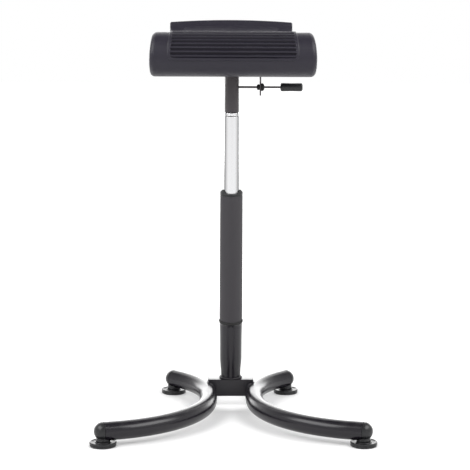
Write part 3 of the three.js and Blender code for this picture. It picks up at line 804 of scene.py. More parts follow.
@dataclass
class LegTube:
    """One bent leg tube with its two end caps and glides."""

    side: int
    # The tube.
    tube_radius: float = 19.1 * MM
    wall: float = 2.5 * MM
    tube_edge: float = 0.5 * MM
    axis_height: float = 30.1 * MM
    rear_rise: float = 3.4 * MM
    # Its route: a short straight beside the column's front, and a bend in each arm.
    inner_x: float = 49.9 * MM
    bow_y: float = -81 * MM
    lead: float = 13.3 * MM
    front_bend: float = 259.4 * MM
    rear_bend: float = 218 * MM
    front_sweep: float = math.radians(73.4)
    rear_sweep: float = math.radians(45.6)
    front_reach: float = 47 * MM
    rear_reach: float = 36 * MM
    # The end caps and the glides.
    dome_length: float = 19.1 * MM
    plug_length: float = 12 * MM
    plug_slack: float = 0.8 * MM
    pad_inset: float = 18.3 * MM
    collar_radius: float = 14.7 * MM
    collar_step: float = 1.2 * MM
    collar_height: float = 4 * MM
    stem_radius: float = 4 * MM
    # The mesh.
    step: float = 4 * MM
    sides: int = 72

    def __post_init__(self) -> None:
        """Finds how far back each tube end lies, for the tube's climb."""
        ends = self.ends()
        self.front_y = self.plan(ends["front"])[1]
        self.rear_y = self.plan(ends["rear"])[1]

    @property
    def word(self) -> str:
        """The side's name, as the frame's nodes have it."""
        return "left" if self.side < 0 else "right"

    def plan(self, distance: float) -> Point3:
        """A place on the centreline as seen from above.

        Args:
            distance: How far along the tube from the middle of its straight, in the rear arm
                positive.

        Returns:
            How far out it lies, how far back, and how far the tube has turned.
        """
        rear = distance > 0
        radius = self.rear_bend if rear else self.front_bend
        along = abs(distance) - self.lead
        turn = min(max(along, 0.0) / radius, self.rear_sweep if rear else self.front_sweep)
        beyond = along - radius * turn
        out = radius * (1 - math.cos(turn)) + beyond * math.sin(turn)
        back = self.lead + radius * math.sin(turn) + beyond * math.cos(turn)
        return self.inner_x + out, self.bow_y + (back if rear else -back), turn

    def beside(self, y: float) -> tuple[Vector, float]:
        """The centreline beside the column.

        Args:
            y: The depth.

        Returns:
            Its point at that depth, and its turn there.
        """
        turn = math.asin((y - self.bow_y - self.lead) / self.rear_bend)
        x = self.inner_x + self.rear_bend * (1 - math.cos(turn))
        return Vector((x, y, self.height(y))), turn

    def height(self, y: float) -> float:
        """The centreline's height at a depth."""
        share = (y - self.front_y) / (self.rear_y - self.front_y)
        return self.axis_height + self.rear_rise * share

    def place(self, distance: float) -> tuple[Vector, Vector]:
        """A place on the centreline.

        Args:
            distance: How far along the tube from the middle of its straight, in the rear arm
                positive.

        Returns:
            The point and the heading towards that arm's end.
        """
        x, y, turn = self.plan(distance)
        towards = 1 if distance > 0 else -1
        heading = Vector((self.side * math.sin(turn), towards * math.cos(turn), 0.0))
        return Vector((self.side * x, y, self.height(y))), heading

    def ends(self) -> dict[str, float]:
        """The places of the tube's two ends.

        Returns:
            The distance of each from the middle of the tube's straight.
        """
        front = self.lead + self.front_bend * self.front_sweep + self.front_reach - self.dome_length
        rear = self.lead + self.rear_bend * self.rear_sweep + self.rear_reach - self.dome_length
        return {"front": -front, "rear": rear}

    def ring(self, distance: float, radius: float) -> list[Vector]:
        """A ring of points round the centreline.

        Args:
            distance: The place along the tube.
            radius: The ring's radius.

        Returns:
            The points.
        """
        point, heading = self.place(distance)
        if distance <= 0:
            heading = -heading
        across = Vector((-heading.y, heading.x, 0.0))
        ring = []
        for i in range(self.sides):
            angle = 2 * math.pi * i / self.sides
            rise = Vector((0.0, 0.0, radius * math.sin(angle)))
            ring.append(point + across * radius * math.cos(angle) + rise)
        return ring

    def swept(self, name: str, radius: float, bore: float = 0.0) -> bpy.types.Object:
        """Sweeps a round bar or a tube along the leg.

        Args:
            name: The object's name.
            radius: The outer radius.
            bore: The inner radius of a tube, or 0 for a bar.

        Returns:
            The body.
        """
        ends = self.ends()
        start = ends["front"] + GAP
        stop = ends["rear"] - GAP
        places = spaced(start, stop, round((stop - start) / self.step))
        rings = [self.ring(place, radius) for place in places]
        if bore:
            edge = self.tube_edge
            rings = [self.ring(start, radius - edge), self.ring(start + edge, radius)] + rings[1:-1]
            rings += [self.ring(stop - edge, radius), self.ring(stop, radius - edge)]
            rings += [self.ring(place, bore) for place in reversed(places)]
        return piped(name, rings, looped=bool(bore))

    def at_end(self, obj: bpy.types.Object, arm: str) -> bpy.types.Object:
        """Moves a body that was built along +X from the tube's end to its place.

        Args:
            obj: The body.
            arm: The leg's front or rear arm.

        Returns:
            The same body.
        """
        point, heading = self.place(self.ends()[arm])
        turn = Matrix.Rotation(math.atan2(heading.y, heading.x), 4, "Z")
        obj.data.transform(Matrix.Translation(point) @ turn)
        return obj

    def end_cap(self, arm: str) -> bpy.types.Object:
        """The plastic cap: a dome, a plug and the collar over the glide.

        Args:
            arm: The leg's front or rear arm.

        Returns:
            The cap.
        """
        radius = self.tube_radius
        plug = radius - self.wall - self.plug_slack
        back = -self.plug_length
        quarter = spaced(0.0, math.pi / 2, 18)
        dome = [(radius * math.cos(a), self.dome_length * math.sin(a)) for a in quarter]
        dome[-1] = (0.0, self.dome_length)
        profile = [(0.0, back), (plug - 1 * MM, back), (plug, back + 1 * MM), (plug, 0.0)]
        profile += [(radius - 0.5 * MM, 0.0), (radius, 0.5 * MM)] + dome[1:]
        body = turned(f"{arm}_{self.word}_cap", profile, self.sides, closed=False)
        body.data.transform(Matrix.Rotation(math.pi / 2, 4, "Y"))
        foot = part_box(f"{arm}_{self.word}_end_cap")[0].z - self.place(self.ends()[arm])[0].z
        outer = self.collar_radius
        neck = outer - self.collar_step
        corners = [
            (0.0, foot, 0.0),
            (outer, foot, 1.0 * MM),
            (outer, foot + self.collar_height - 0.8 * MM, 0.5 * MM),
            (neck, foot + self.collar_height, 0.5 * MM),
            (neck, 0.0, 0.0),
            (0.0, 0.0, 0.0),
        ]
        collar = turned("collar", filleted(corners, closed=False), self.sides, closed=False)
        collar.data.transform(Matrix.Translation((self.dome_length - self.pad_inset, 0.0, 0.0)))
        self.at_end(collar, arm)
        combined(collar, self.swept("cutter", radius + GAP), "DIFFERENCE")
        self.at_end(body, arm)
        return combined(body, collar, "UNION", 32.0)

    def glide(self, arm: str) -> bpy.types.Object:
        """The round glide under an arm, with its stepped side and dished top.

        Args:
            arm: The leg's front or rear arm.

        Returns:
            The glide.
        """
        node = f"{arm}_{self.word}_glide"
        low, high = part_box(node)
        radius = half_size(node)
        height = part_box(f"{arm}_{self.word}_end_cap")[0].z - GAP
        # From the underside up: the foot's edge, a groove, the disc, its dished top and the stem.
        corners = [
            (0.0, 0.0, 0.0),
            (radius - 1.6 * MM, 0.0, 0.6 * MM),
            (radius - 0.4 * MM, 1.2 * MM, 0.6 * MM),
            (radius - 0.2 * MM, 4.3 * MM, 0.5 * MM),
            (radius - 1.3 * MM, 4.6 * MM, 0.2 * MM),
            (radius - 1.3 * MM, 5.5 * MM, 0.2 * MM),
            (radius, 5.8 * MM, 0.5 * MM),
            (radius - 0.3 * MM, height - 0.3 * MM, 0.9 * MM),
            (radius - 2.6 * MM, height, 0.7 * MM),
            (radius - 4.2 * MM, height - 1.3 * MM, 0.7 * MM),
            (self.collar_radius + 2.5 * MM, height - 1.7 * MM, 1.2 * MM),
            (self.collar_radius + 0.8 * MM, height - 0.1 * MM, 0.7 * MM),
            (self.stem_radius, height - 0.1 * MM, 0.4 * MM),
            (self.stem_radius, high.z, 0.5 * MM),
            (0.0, high.z, 0.0),
        ]
        profile = filleted(corners, closed=False, steps=4)
        made = turned(f"{arm}_{self.word}_foot_glide", profile, closed=False)
        centre = (low + high) / 2.0
        made.data.transform(Matrix.Translation((centre.x, centre.y, 0.0)))
        return made

    def build(self, shop: Workshop) -> None:
        """Builds the leg and fits it to the frame.

        Args:
            shop: Finishes the pieces.
        """
        tube = self.swept(f"{self.word}_leg_tube", self.tube_radius, self.tube_radius - self.wall)
        shop.fit(tube, "gloss_black_steel", Rider.BASE, f"{self.word}_leg")
        for arm in self.ends():
            shop.fit(self.end_cap(arm), "black_plastic", Rider.BASE, f"{arm}_{self.word}_end_cap")
            rider = Rider(f"{arm}_{self.word}_foot")
            shop.fit(self.glide(arm), "black_plastic", rider, f"{arm}_{self.word}_glide")


@dataclass
class WeldBead:
    """A weld: a bead with ripples along a line of points."""

    radius: float = 2.3 * MM
    ripple: float = 0.35 * MM
    pitch: float = 2.6 * MM
    taper: float = 3.0
    sides: int = 12

    def along(self, name: str, path: Sequence[Vector], looped: bool = False) -> bpy.types.Object:
        """Lays the bead along a path.

        Args:
            name: The object's name.
            path: The points, about a millimetre apart.
            looped: Whether the path closes on itself.

        Returns:
            The bead.
        """
        count = len(path)
        rings = []
        travelled = 0.0
        across = Vector((0.0, 0.0, 1.0))
        for i, point in enumerate(path):
            before = path[i - 1] if looped or i else point
            after = path[(i + 1) % count] if looped or i + 1 < count else point
            heading = (after - before).normalized()
            across = (across - heading * across.dot(heading)).normalized()
            upright = across.cross(heading)
            # Over its first and last few points, an open bead swells from a blunt tip.
            from_tip = min(i, count - 1 - i) + 0.2
            ends = 1.0 if looped else min(1.0, math.sqrt(from_tip / self.taper))
            if i:
                travelled += (point - path[i - 1]).length
            wave = abs(math.sin(math.pi * travelled / self.pitch))
            radius = (self.radius - self.ripple * (1.0 - wave)) * ends
            ring = []
            for j in range(self.sides):
                angle = 2 * math.pi * j / self.sides
                spoke = across * radius * math.cos(angle) + upright * radius * math.sin(angle)
                ring.append(point + spoke)
            rings.append(ring)
        return piped(name, rings, looped, sharp=60.0)


@dataclass
class Crossbeam:
    """The box-section beam between the legs, with its welds."""

    legs: tuple[LegTube, LegTube]
    edge: float = 1.4 * MM  # the rounding of the box section
    front_reach: float = 50 * MM
    rear_reach: float = 51 * MM
    weld_gap: float = 0.1 * MM
    bead: float = 2.4 * MM

    def reach(self, y: float) -> float:
        """Half the beam's length, whose ends are cut slightly slanted.

        Args:
            y: The depth.

        Returns:
            Half the length at that depth.
        """
        low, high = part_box("cross_beam")
        share = (y - low.y) / (high.y - low.y)
        return self.front_reach + (self.rear_reach - self.front_reach) * share

    def section(self, share: float) -> list[Vector]:
        """The rounded box section at one place along the beam, slanted as the beam's ends are.

        Args:
            share: The place, from -1 at the left end to 1 at the right end.

        Returns:
            The ring of points.
        """
        low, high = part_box("cross_beam")
        places = ((low.y, low.z), (high.y, low.z), (high.y, high.z), (low.y, high.z))
        corners = [(y, z, self.edge) for y, z in places]
        return [Vector((share * self.reach(y), y, z)) for y, z in filleted(corners)]

    def brow(self, leg: LegTube, y: float) -> float:
        """The angle up a leg tube at which the beam's end meets it, at a depth.

        Args:
            leg: The leg.
            y: The depth.

        Returns:
            The angle in radians.
        """
        centre, turn = leg.beside(y)
        return math.acos(max(0.0, (centre.x - self.reach(y)) * math.cos(turn) / leg.tube_radius))

    def weld_path(self, leg: LegTube) -> list[Vector]:
        """The line where the beam's front, top and rear meet a leg tube.

        Args:
            leg: The leg.

        Returns:
            The points of the line.
        """
        low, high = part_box("cross_beam")
        foot = math.asin((low.z + self.edge - leg.height(0.0)) / leg.tube_radius)
        stops = [(low.y, angle) for angle in spaced(foot, self.brow(leg, low.y), 26)]
        stops += [(y, self.brow(leg, y)) for y in spaced(low.y, high.y, 36)[1:-1]]
        stops += [(high.y, angle) for angle in spaced(self.brow(leg, high.y), foot, 26)]
        raw = []
        for y, angle in stops:
            centre, turn = leg.beside(y)
            x = centre.x - leg.tube_radius * math.cos(angle) / math.cos(turn)
            raw.append(Vector((leg.side * x, y, centre.z + leg.tube_radius * math.sin(angle))))
        path = []
        for i in range(len(raw)):
            near = raw[max(0, i - 2) : i + 3]
            path.append(sum(near, Vector()) / len(near))
        return path

    def build(self, shop: Workshop) -> None:
        """Builds the beam and its welds and fits them to the frame.

        Args:
            shop: Finishes the pieces.
        """
        beam = piped("cross_beam_box", [self.section(share) for share in spaced(-1.0, 1.0, 8)])
        for leg in self.legs:
            combined(beam, leg.swept("cutter", leg.tube_radius + self.weld_gap), "DIFFERENCE")
        shop.fit(beam, "gloss_black_steel", Rider.BASE, "cross_beam")
        bead = WeldBead(radius=self.bead)
        for leg in self.legs:
            weld = bead.along(f"{leg.word}_beam_weld", self.weld_path(leg))
            shop.fit(weld, "gloss_black_steel", Rider.BASE)


# Column


@dataclass
class Column:
    """What stands on the crossbeam: socket, ring, cover, guide cap and chrome tube."""

    sides: int = 128
    # The socket and its weld.
    neck_radius: float = 21.5 * MM
    body_radius: float = 24 * MM
    mouth_radius: float = 24.7 * MM
    socket_wall: float = 2.5 * MM
    socket_rise: float = 5 * MM
    cone_start: float = 10.2 * MM
    cone_length: float = 36 * MM
    weld_radius: float = 23.2 * MM
    weld_height: float = 1.6 * MM
    # The joint between the socket and the cover, lower at the front and the back.
    joint_scoop: float = 5.6 * MM
    joint_height: float = 5 * MM
    joint_blend: float = 24 * MM
    # The cover, the guide cap and the chrome tube.
    sleeve_bore: float = 21.6 * MM
    bush_radius: float = 19 * MM
    rim_scoop: float = 9 * MM
    tube_wall: float = 2 * MM
    neck_height: float = 7.8 * MM

    @property
    def joint_foot(self) -> float:
        """The height of the socket's upper edge at the sides, where the joint ring sits."""
        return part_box("hub_socket")[1].z + self.socket_rise

    @staticmethod
    def facing(point: Vector) -> float:
        """How far a point of a round body faces the front or the back.

        Args:
            point: The point.

        Returns:
            A share from 0 to 1.
        """
        soft = 0.01
        flat = math.hypot(point.x, point.y)
        if flat <= TINY:
            return 0.0
        return math.sqrt((point.y / flat) ** 2 + soft) / math.sqrt(1.0 + soft)

    def scooped(self, depth: float, start: float, stop: float) -> Warp:
        """A warp that lowers a rim at the front and the back.

        Args:
            depth: How far the rim is lowered.
            start: The height from which the warp sets in.
            stop: The height at which it is full.

        Returns:
            The warp.
        """

        def warp(point: Vector) -> Vector:
            """Lowers one point."""
            share = min(1.0, max(0.0, (point.z - start) / (stop - start)))
            return Vector((point.x, point.y, point.z - depth * self.facing(point) * share))

        return warp

    def socket(self) -> bpy.types.Object:
        """The tapered socket tube with its weld on the crossbeam.

        Returns:
            The socket.
        """
        neck, body, mouth = self.neck_radius, self.body_radius, self.mouth_radius
        wall = self.socket_wall
        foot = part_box("hub_socket")[0].z
        cone = foot + self.cone_start
        top = self.joint_foot
        profile = [(neck - wall, foot), (neck, foot), (neck, cone)]
        for share in spaced(0.0, 1.0, 24):
            swell = smoothstep(share, 0.0, 1.0) * 0.6 + share * 0.4
            profile.append((neck + (body - neck) * swell, cone + self.cone_length * share))
        profile += [
            (body, cone + 63 * MM),
            (body + 0.2 * MM, top - 30 * MM),
            (mouth, top - 8 * MM),
            (mouth + 0.2 * MM, top - 2 * MM),
            (mouth + 1.2 * MM, top - 0.5 * MM),
            (mouth + 1.0 * MM, top),
            (mouth - 1.5 * MM, top),
            (body - wall, top - 12 * MM),
            (body - wall, cone + self.cone_length),
            (neck - wall, cone),
        ]
        warp = self.scooped(self.joint_scoop, top - self.joint_blend, top)
        return turned("socket_tube", profile, self.sides, warp=warp)

    def socket_weld(self) -> bpy.types.Object:
        """The coarse weld round the socket's foot.

        Returns:
            The bead.
        """
        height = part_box("hub_socket")[0].z + self.weld_height
        reach = self.weld_radius
        turns = spaced(0.0, 2 * math.pi, 150)[:-1]
        circle = [Vector((reach * math.cos(a), reach * math.sin(a), height)) for a in turns]
        bead = WeldBead(radius=2.2 * MM, ripple=0.6 * MM, pitch=3.4 * MM)
        return bead.along("socket_weld", circle, looped=True)

    def ring(self) -> bpy.types.Object:
        """The black joint ring between socket and cover.

        Returns:
            The ring.
        """
        outer = half_size("cover_ring")
        inner = self.sleeve_bore
        foot = self.joint_foot + GAP
        top = foot + self.joint_height
        corners = [
            (inner, foot, 0.3 * MM),
            (outer - 0.7 * MM, foot, 0.5 * MM),
            (outer, foot + 1.2 * MM, 0.8 * MM),
            (outer - 0.2 * MM, top - 1.2 * MM, 0.9 * MM),
            (outer - 1.4 * MM, top, 0.5 * MM),
            (inner, top, 0.3 * MM),
        ]
        warp = self.scooped(self.joint_scoop, foot - 1.0, foot - 0.999)
        return turned("joint_ring", filleted(corners), self.sides, warp=warp)

    def cover(self) -> bpy.types.Object:
        """The matte cover sleeve, with a soft edge at both ends.

        Returns:
            The sleeve.
        """
        outer = half_size("column_cover")
        inner = self.sleeve_bore
        foot = self.joint_foot + 2 * GAP + self.joint_height
        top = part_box("column_cover")[1].z
        corners = [
            (inner, foot, 0.3 * MM),
            (outer - 0.2 * MM, foot, 0.6 * MM),
            (outer, foot + 6 * MM, 2 * MM),
            (outer, top, 0.8 * MM),
            (inner, top, 0.3 * MM),
        ]
        rows = filleted(corners)
        # Rows along the height let the scoop of the lower end fade out smoothly.
        dense: list[Point2] = []
        for (r1, z1), (r2, z2) in zip(rows, rows[1:] + rows[:1]):
            steps = max(1, round(abs(z2 - z1) / (8 * MM)))
            shares = [k / steps for k in range(steps)]
            dense += [(r1 + (r2 - r1) * share, z1 + (z2 - z1) * share) for share in shares]
        down = self.scooped(self.joint_scoop, foot + self.joint_blend, foot)
        return turned("cover_sleeve", dense, self.sides, warp=down)

    def cap(self) -> bpy.types.Object:
        """The domed guide cap with its bush, scooped at the front and the back of its hole.

        Returns:
            The cap.
        """
        low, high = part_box("guide_cap")
        outer = half_size("guide_cap")
        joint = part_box("column_cover")[1].z + GAP
        hole = half_size("spring_tube") + GAP
        corners = [
            (hole, low.z, 0.5 * MM),
            (self.bush_radius, low.z, 0.5 * MM),
            (self.bush_radius, joint, 0.0),
            (outer, joint, 0.6 * MM),
            (outer, high.z - 5.5 * MM, 3.5 * MM),
            (outer - 5.2 * MM, high.z, 3.0 * MM),
            (hole, high.z, 0.9 * MM),
        ]
        warp = self.scooped(self.rim_scoop, joint + 1.0 * MM, high.z)
        return turned("guide_dome", filleted(corners, steps=8), self.sides, warp=warp, sharp=50.0)

    def chrome(self) -> bpy.types.Object:
        """The chromed gas-spring tube with its rolled end and cone.

        Returns:
            The tube.
        """
        low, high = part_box("spring_tube")
        outer = half_size("spring_tube")
        bore = outer - self.tube_wall
        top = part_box("seat_post")[0].z - GAP
        shoulder = top - self.neck_height
        ring = outer - 1.0 * MM
        corners = [
            (bore, low.z, 0.4 * MM),
            (outer, low.z, 0.8 * MM),
            (outer, shoulder - 1.0 * MM, 0.8 * MM),
            (outer - 1.8 * MM, shoulder + 0.8 * MM, 0.6 * MM),
            (ring, shoulder + 2.2 * MM, 0.8 * MM),
            (ring, shoulder + 6.4 * MM, 1.8 * MM),
            (ring - 2.0 * MM, top, 0.6 * MM),
            (12.9 * MM, top, 0.3 * MM),
            (12.4 * MM, high.z, 0.5 * MM),
            (3.8 * MM, high.z, 0.3 * MM),
            (3.8 * MM, shoulder - 8 * MM, 0.3 * MM),
            (bore, shoulder - 8 * MM, 0.5 * MM),
        ]
        return turned("chrome_tube", filleted(corners), self.sides)

    def build(self, shop: Workshop) -> None:
        """Builds the column and fits it to the frame.

        Args:
            shop: Finishes the pieces.
        """
        shop.fit(self.socket(), "gloss_black_steel", Rider.BASE, "hub_socket")
        shop.fit(self.socket_weld(), "gloss_black_steel", Rider.BASE)
        shop.fit(self.ring(), "black_rubber", Rider.BASE, "cover_ring")
        shop.fit(self.cover(), "matte_grey_cover", Rider.BASE, "column_cover")
        shop.fit(self.cap(), "black_plastic", Rider.BASE, "guide_cap")
        shop.fit(self.chrome(), "chrome_tube", Rider.SEAT, "spring_tube")


# Post and lever


@dataclass
class ReleaseLever:
    """The seat post and the release lever with its bracket."""

    # The post and its slot.
    post_wall: float = 2.4 * MM
    post_bore: float = 13.2 * MM
    bore_depth: float = 82 * MM
    slot_half: float = 2.9 * MM
    slot_drop: float = 7.1 * MM
    # The rod and the grommet in the bracket.
    rod_radius: float = 2.25 * MM
    bracket_thickness: float = 3 * MM
    small_lobe: float = 6.35 * MM
    neck_radius: float = 5 * MM
    sides: int = 48

    @property
    def rod_height(self) -> float:
        """The height of the lever's axis."""
        low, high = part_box("lever_rod")
        return (low.z + high.z) / 2.0

    def post(self) -> bpy.types.Object:
        """The textured post, with the slot that the lever goes through.

        Returns:
            The post.
        """
        low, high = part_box("seat_post")
        foot = half_size("seat_post")
        top = foot - 0.5 * MM
        corners = [
            (self.post_bore, low.z, 0.4 * MM),
            (foot, low.z, 2.6 * MM),
            (top, high.z, 0.3 * MM),
            (top - self.post_wall, high.z, 0.3 * MM),
            (top - self.post_wall, high.z - self.bore_depth, 0.3 * MM),
        ]
        post = turned("post_tube", filleted(corners))
        half = self.slot_half
        places = ((-half, -self.slot_drop), (half, -self.slot_drop), (half, half), (-half, half))
        slot = filleted([(y, z, half) for y, z in places])
        height = self.rod_height
        rings = [[Vector((x, y, height + z)) for y, z in slot] for x in (4 * MM, 20 * MM)]
        return combined(post, piped("cutter", rings), "DIFFERENCE")

    def along_x(
        self,
        name: str,
        corners: Sequence[Corner],
        closed: bool = False,
    ) -> bpy.types.Object:
        """Turns a profile about the lever's axis.

        Args:
            name: The object's name.
            corners: The profile's corners, as radius, place along +X and rounding.
            closed: Whether the profile closes on itself.

        Returns:
            The body.
        """
        obj = turned(name, filleted(corners, closed), self.sides, closed)
        lift = Matrix.Translation((0.0, 0.0, self.rod_height))
        obj.data.transform(lift @ Matrix.Rotation(math.pi / 2, 4, "Y"))
        return obj

    def rod(self) -> bpy.types.Object:
        """The thin rod, from inside the post into the grip.

        Returns:
            The rod.
        """
        low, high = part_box("lever_rod")
        corners = [
            (0.0, low.x, 0.0),
            (self.rod_radius, low.x, 0.8 * MM),
            (self.rod_radius, high.x, 0.5 * MM),
            (0.0, high.x, 0.0),
        ]
        return self.along_x("release_rod", corners)

    def grip(self) -> bpy.types.Object:
        """The grip, slightly waisted, with the hole that the rod sits in.

        Returns:
            The grip.
        """
        low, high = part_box("lever_grip")
        start, end = low.x, high.x
        radius = half_size("lever_grip", 2)
        hole_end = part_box("lever_rod")[1].x + GAP
        corners = [
            (0.0, end, 0.0),
            (radius - 2.6 * MM, end, 0.6 * MM),
            (radius, end - 2.4 * MM, 1.0 * MM),
            (radius, end - 8 * MM, 0.0),
            (radius - 0.35 * MM, start + (end - start) / 2, 0.0),
            (radius, start + 8 * MM, 0.0),
            (radius, start + 2.4 * MM, 1.0 * MM),
            (radius - 2.6 * MM, start, 0.6 * MM),
            (self.rod_radius + GAP, start, 0.3 * MM),
            (self.rod_radius + GAP, hole_end, 0.0),
            (0.0, hole_end, 0.0),
        ]
        return self.along_x("release_grip", corners)

    def grommet(self) -> bpy.types.Object:
        """The rubber grommet: a small lobe, a neck in the bracket and a large lobe.

        Returns:
            The grommet.
        """
        low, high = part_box("lever_grommet")
        start, end = low.x, high.x
        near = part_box("lever_bracket")[0].x
        far = near + self.bracket_thickness
        small, large = self.small_lobe, half_size("lever_grommet", 2)
        bore = self.rod_radius + GAP
        corners = [
            (bore + 0.6 * MM, start, 0.3 * MM),
            (small - 2.0 * MM, start, 1.2 * MM),
            (small, start + 2.2 * MM, 1.4 * MM),
            (small, near - GAP, 0.5 * MM),
            (self.neck_radius, near - GAP, 0.2 * MM),
            (self.neck_radius, far + GAP, 0.2 * MM),
            (large, far + GAP, 0.6 * MM),
            (large, end - 3.0 * MM, 1.6 * MM),
            (large - 2.6 * MM, end, 1.2 * MM),
            (bore + 0.8 * MM, end, 0.3 * MM),
            (bore, (near + far) / 2.0, 0.0),
        ]
        return self.along_x("rod_grommet", corners, closed=True)

    def build(self, shop: Workshop) -> None:
        """Builds the post and the lever and fits them to the frame.

        Args:
            shop: Finishes the pieces.
        """
        shop.fit(self.post(), "satin_black_steel", Rider.SEAT, "seat_post")
        shop.fit(self.rod(), "satin_black_steel", Rider.LEVER, "lever_rod")
        shop.fit(self.grip(), "black_plastic", Rider.LEVER, "lever_grip")
        shop.fit(self.grommet(), "black_rubber", Rider.SEAT, "lever_grommet")
        for node, edge in (("lever_bracket", 0.6 * MM), ("seat_plate", 0.5 * MM)):
            shop.fit(refined(node, edge), "satin_black_steel", Rider.SEAT, node)
        for node in sorted(frame["nodes"]):
            if node.endswith("seat_screw"):
                shop.fit(refined(node, 0.3 * MM), "plain_steel", Rider.SEAT, node)


# Seat


class Strip(Enum):
    """The strips of the seat's mesh, from its middle to its end."""

    INNER = "inside of the panel"
    EDGE = "edge of the panel"
    SIDE = "plain side"
    ROUND = "rounding at the end"


class Outline:
    """A closed side outline of (y, z) points that is measured along its length."""

    def __init__(self) -> None:
        """Starts an empty outline."""
        self.points: list[Vector] = []
        self.joints: list[float] = []

    def extend(self, points: Sequence[Vector]) -> None:
        """Adds a stretch of points and notes where it ends.

        Args:
            points: The stretch's points.
        """
        for point in points:
            if not self.points or (point - self.points[-1]).length > TINY:
                self.points.append(point)
        self.measure()
        self.joints.append(self.lengths[-1])

    def arc(self, centre: Vector, radius: float, start: float, stop: float) -> None:
        """Adds an arc.

        Args:
            centre: Its centre.
            radius: Its radius.
            start: Its first angle.
            stop: Its last angle.
        """
        count = max(8, round(abs(stop - start) * radius / (0.25 * MM)))
        angles = spaced(start, stop, count)
        self.extend([centre + radius * Vector((math.cos(a), math.sin(a))) for a in angles])

    def curve(self, first: Vector, second: Vector, third: Vector, last: Vector) -> None:
        """Adds a cubic curve.

        Args:
            first: Its first point.
            second: The first handle.
            third: The second handle.
            last: Its last point.
        """
        points = []
        for t in spaced(0.0, 1.0, 400):
            s = 1.0 - t
            handles = second * 3 * s * s * t + third * 3 * s * t * t
            points.append(first * s**3 + handles + last * t**3)
        self.extend(points)

    def straight(self, first: Vector, last: Vector, count: int) -> None:
        """Adds a straight stretch of evenly spaced points."""
        self.extend([first.lerp(last, share) for share in spaced(0.0, 1.0, count)])

    def measure(self) -> None:
        """Measures the length up to each point."""
        self.lengths = [0.0]
        for a, b in zip(self.points, self.points[1:]):
            self.lengths.append(self.lengths[-1] + (b - a).length)

    def at(self, distance: float) -> tuple[Vector, Vector]:
        """A place on the outline.

        Args:
            distance: The length along the outline.

        Returns:
            The point and the outward normal there.
        """
        last = len(self.points) - 2
        i = min(last, max(0, bisect(self.lengths, distance) - 1))
        a, b = self.points[i], self.points[i + 1]
        share = (distance - self.lengths[i]) / max(TINY, (b - a).length)
        before = self.points[max(0, i - 2)]
        after = self.points[min(last + 1, i + 3)]
        heading = (after - before).normalized()
        return a.lerp(b, share), Vector((-heading.y, heading.x))


class Spot(NamedTuple):
    """A place on the seat's skin."""

    along: float  # the length along the outline
    across: float  # the place across the seat
    half: float  # half the seat's width there


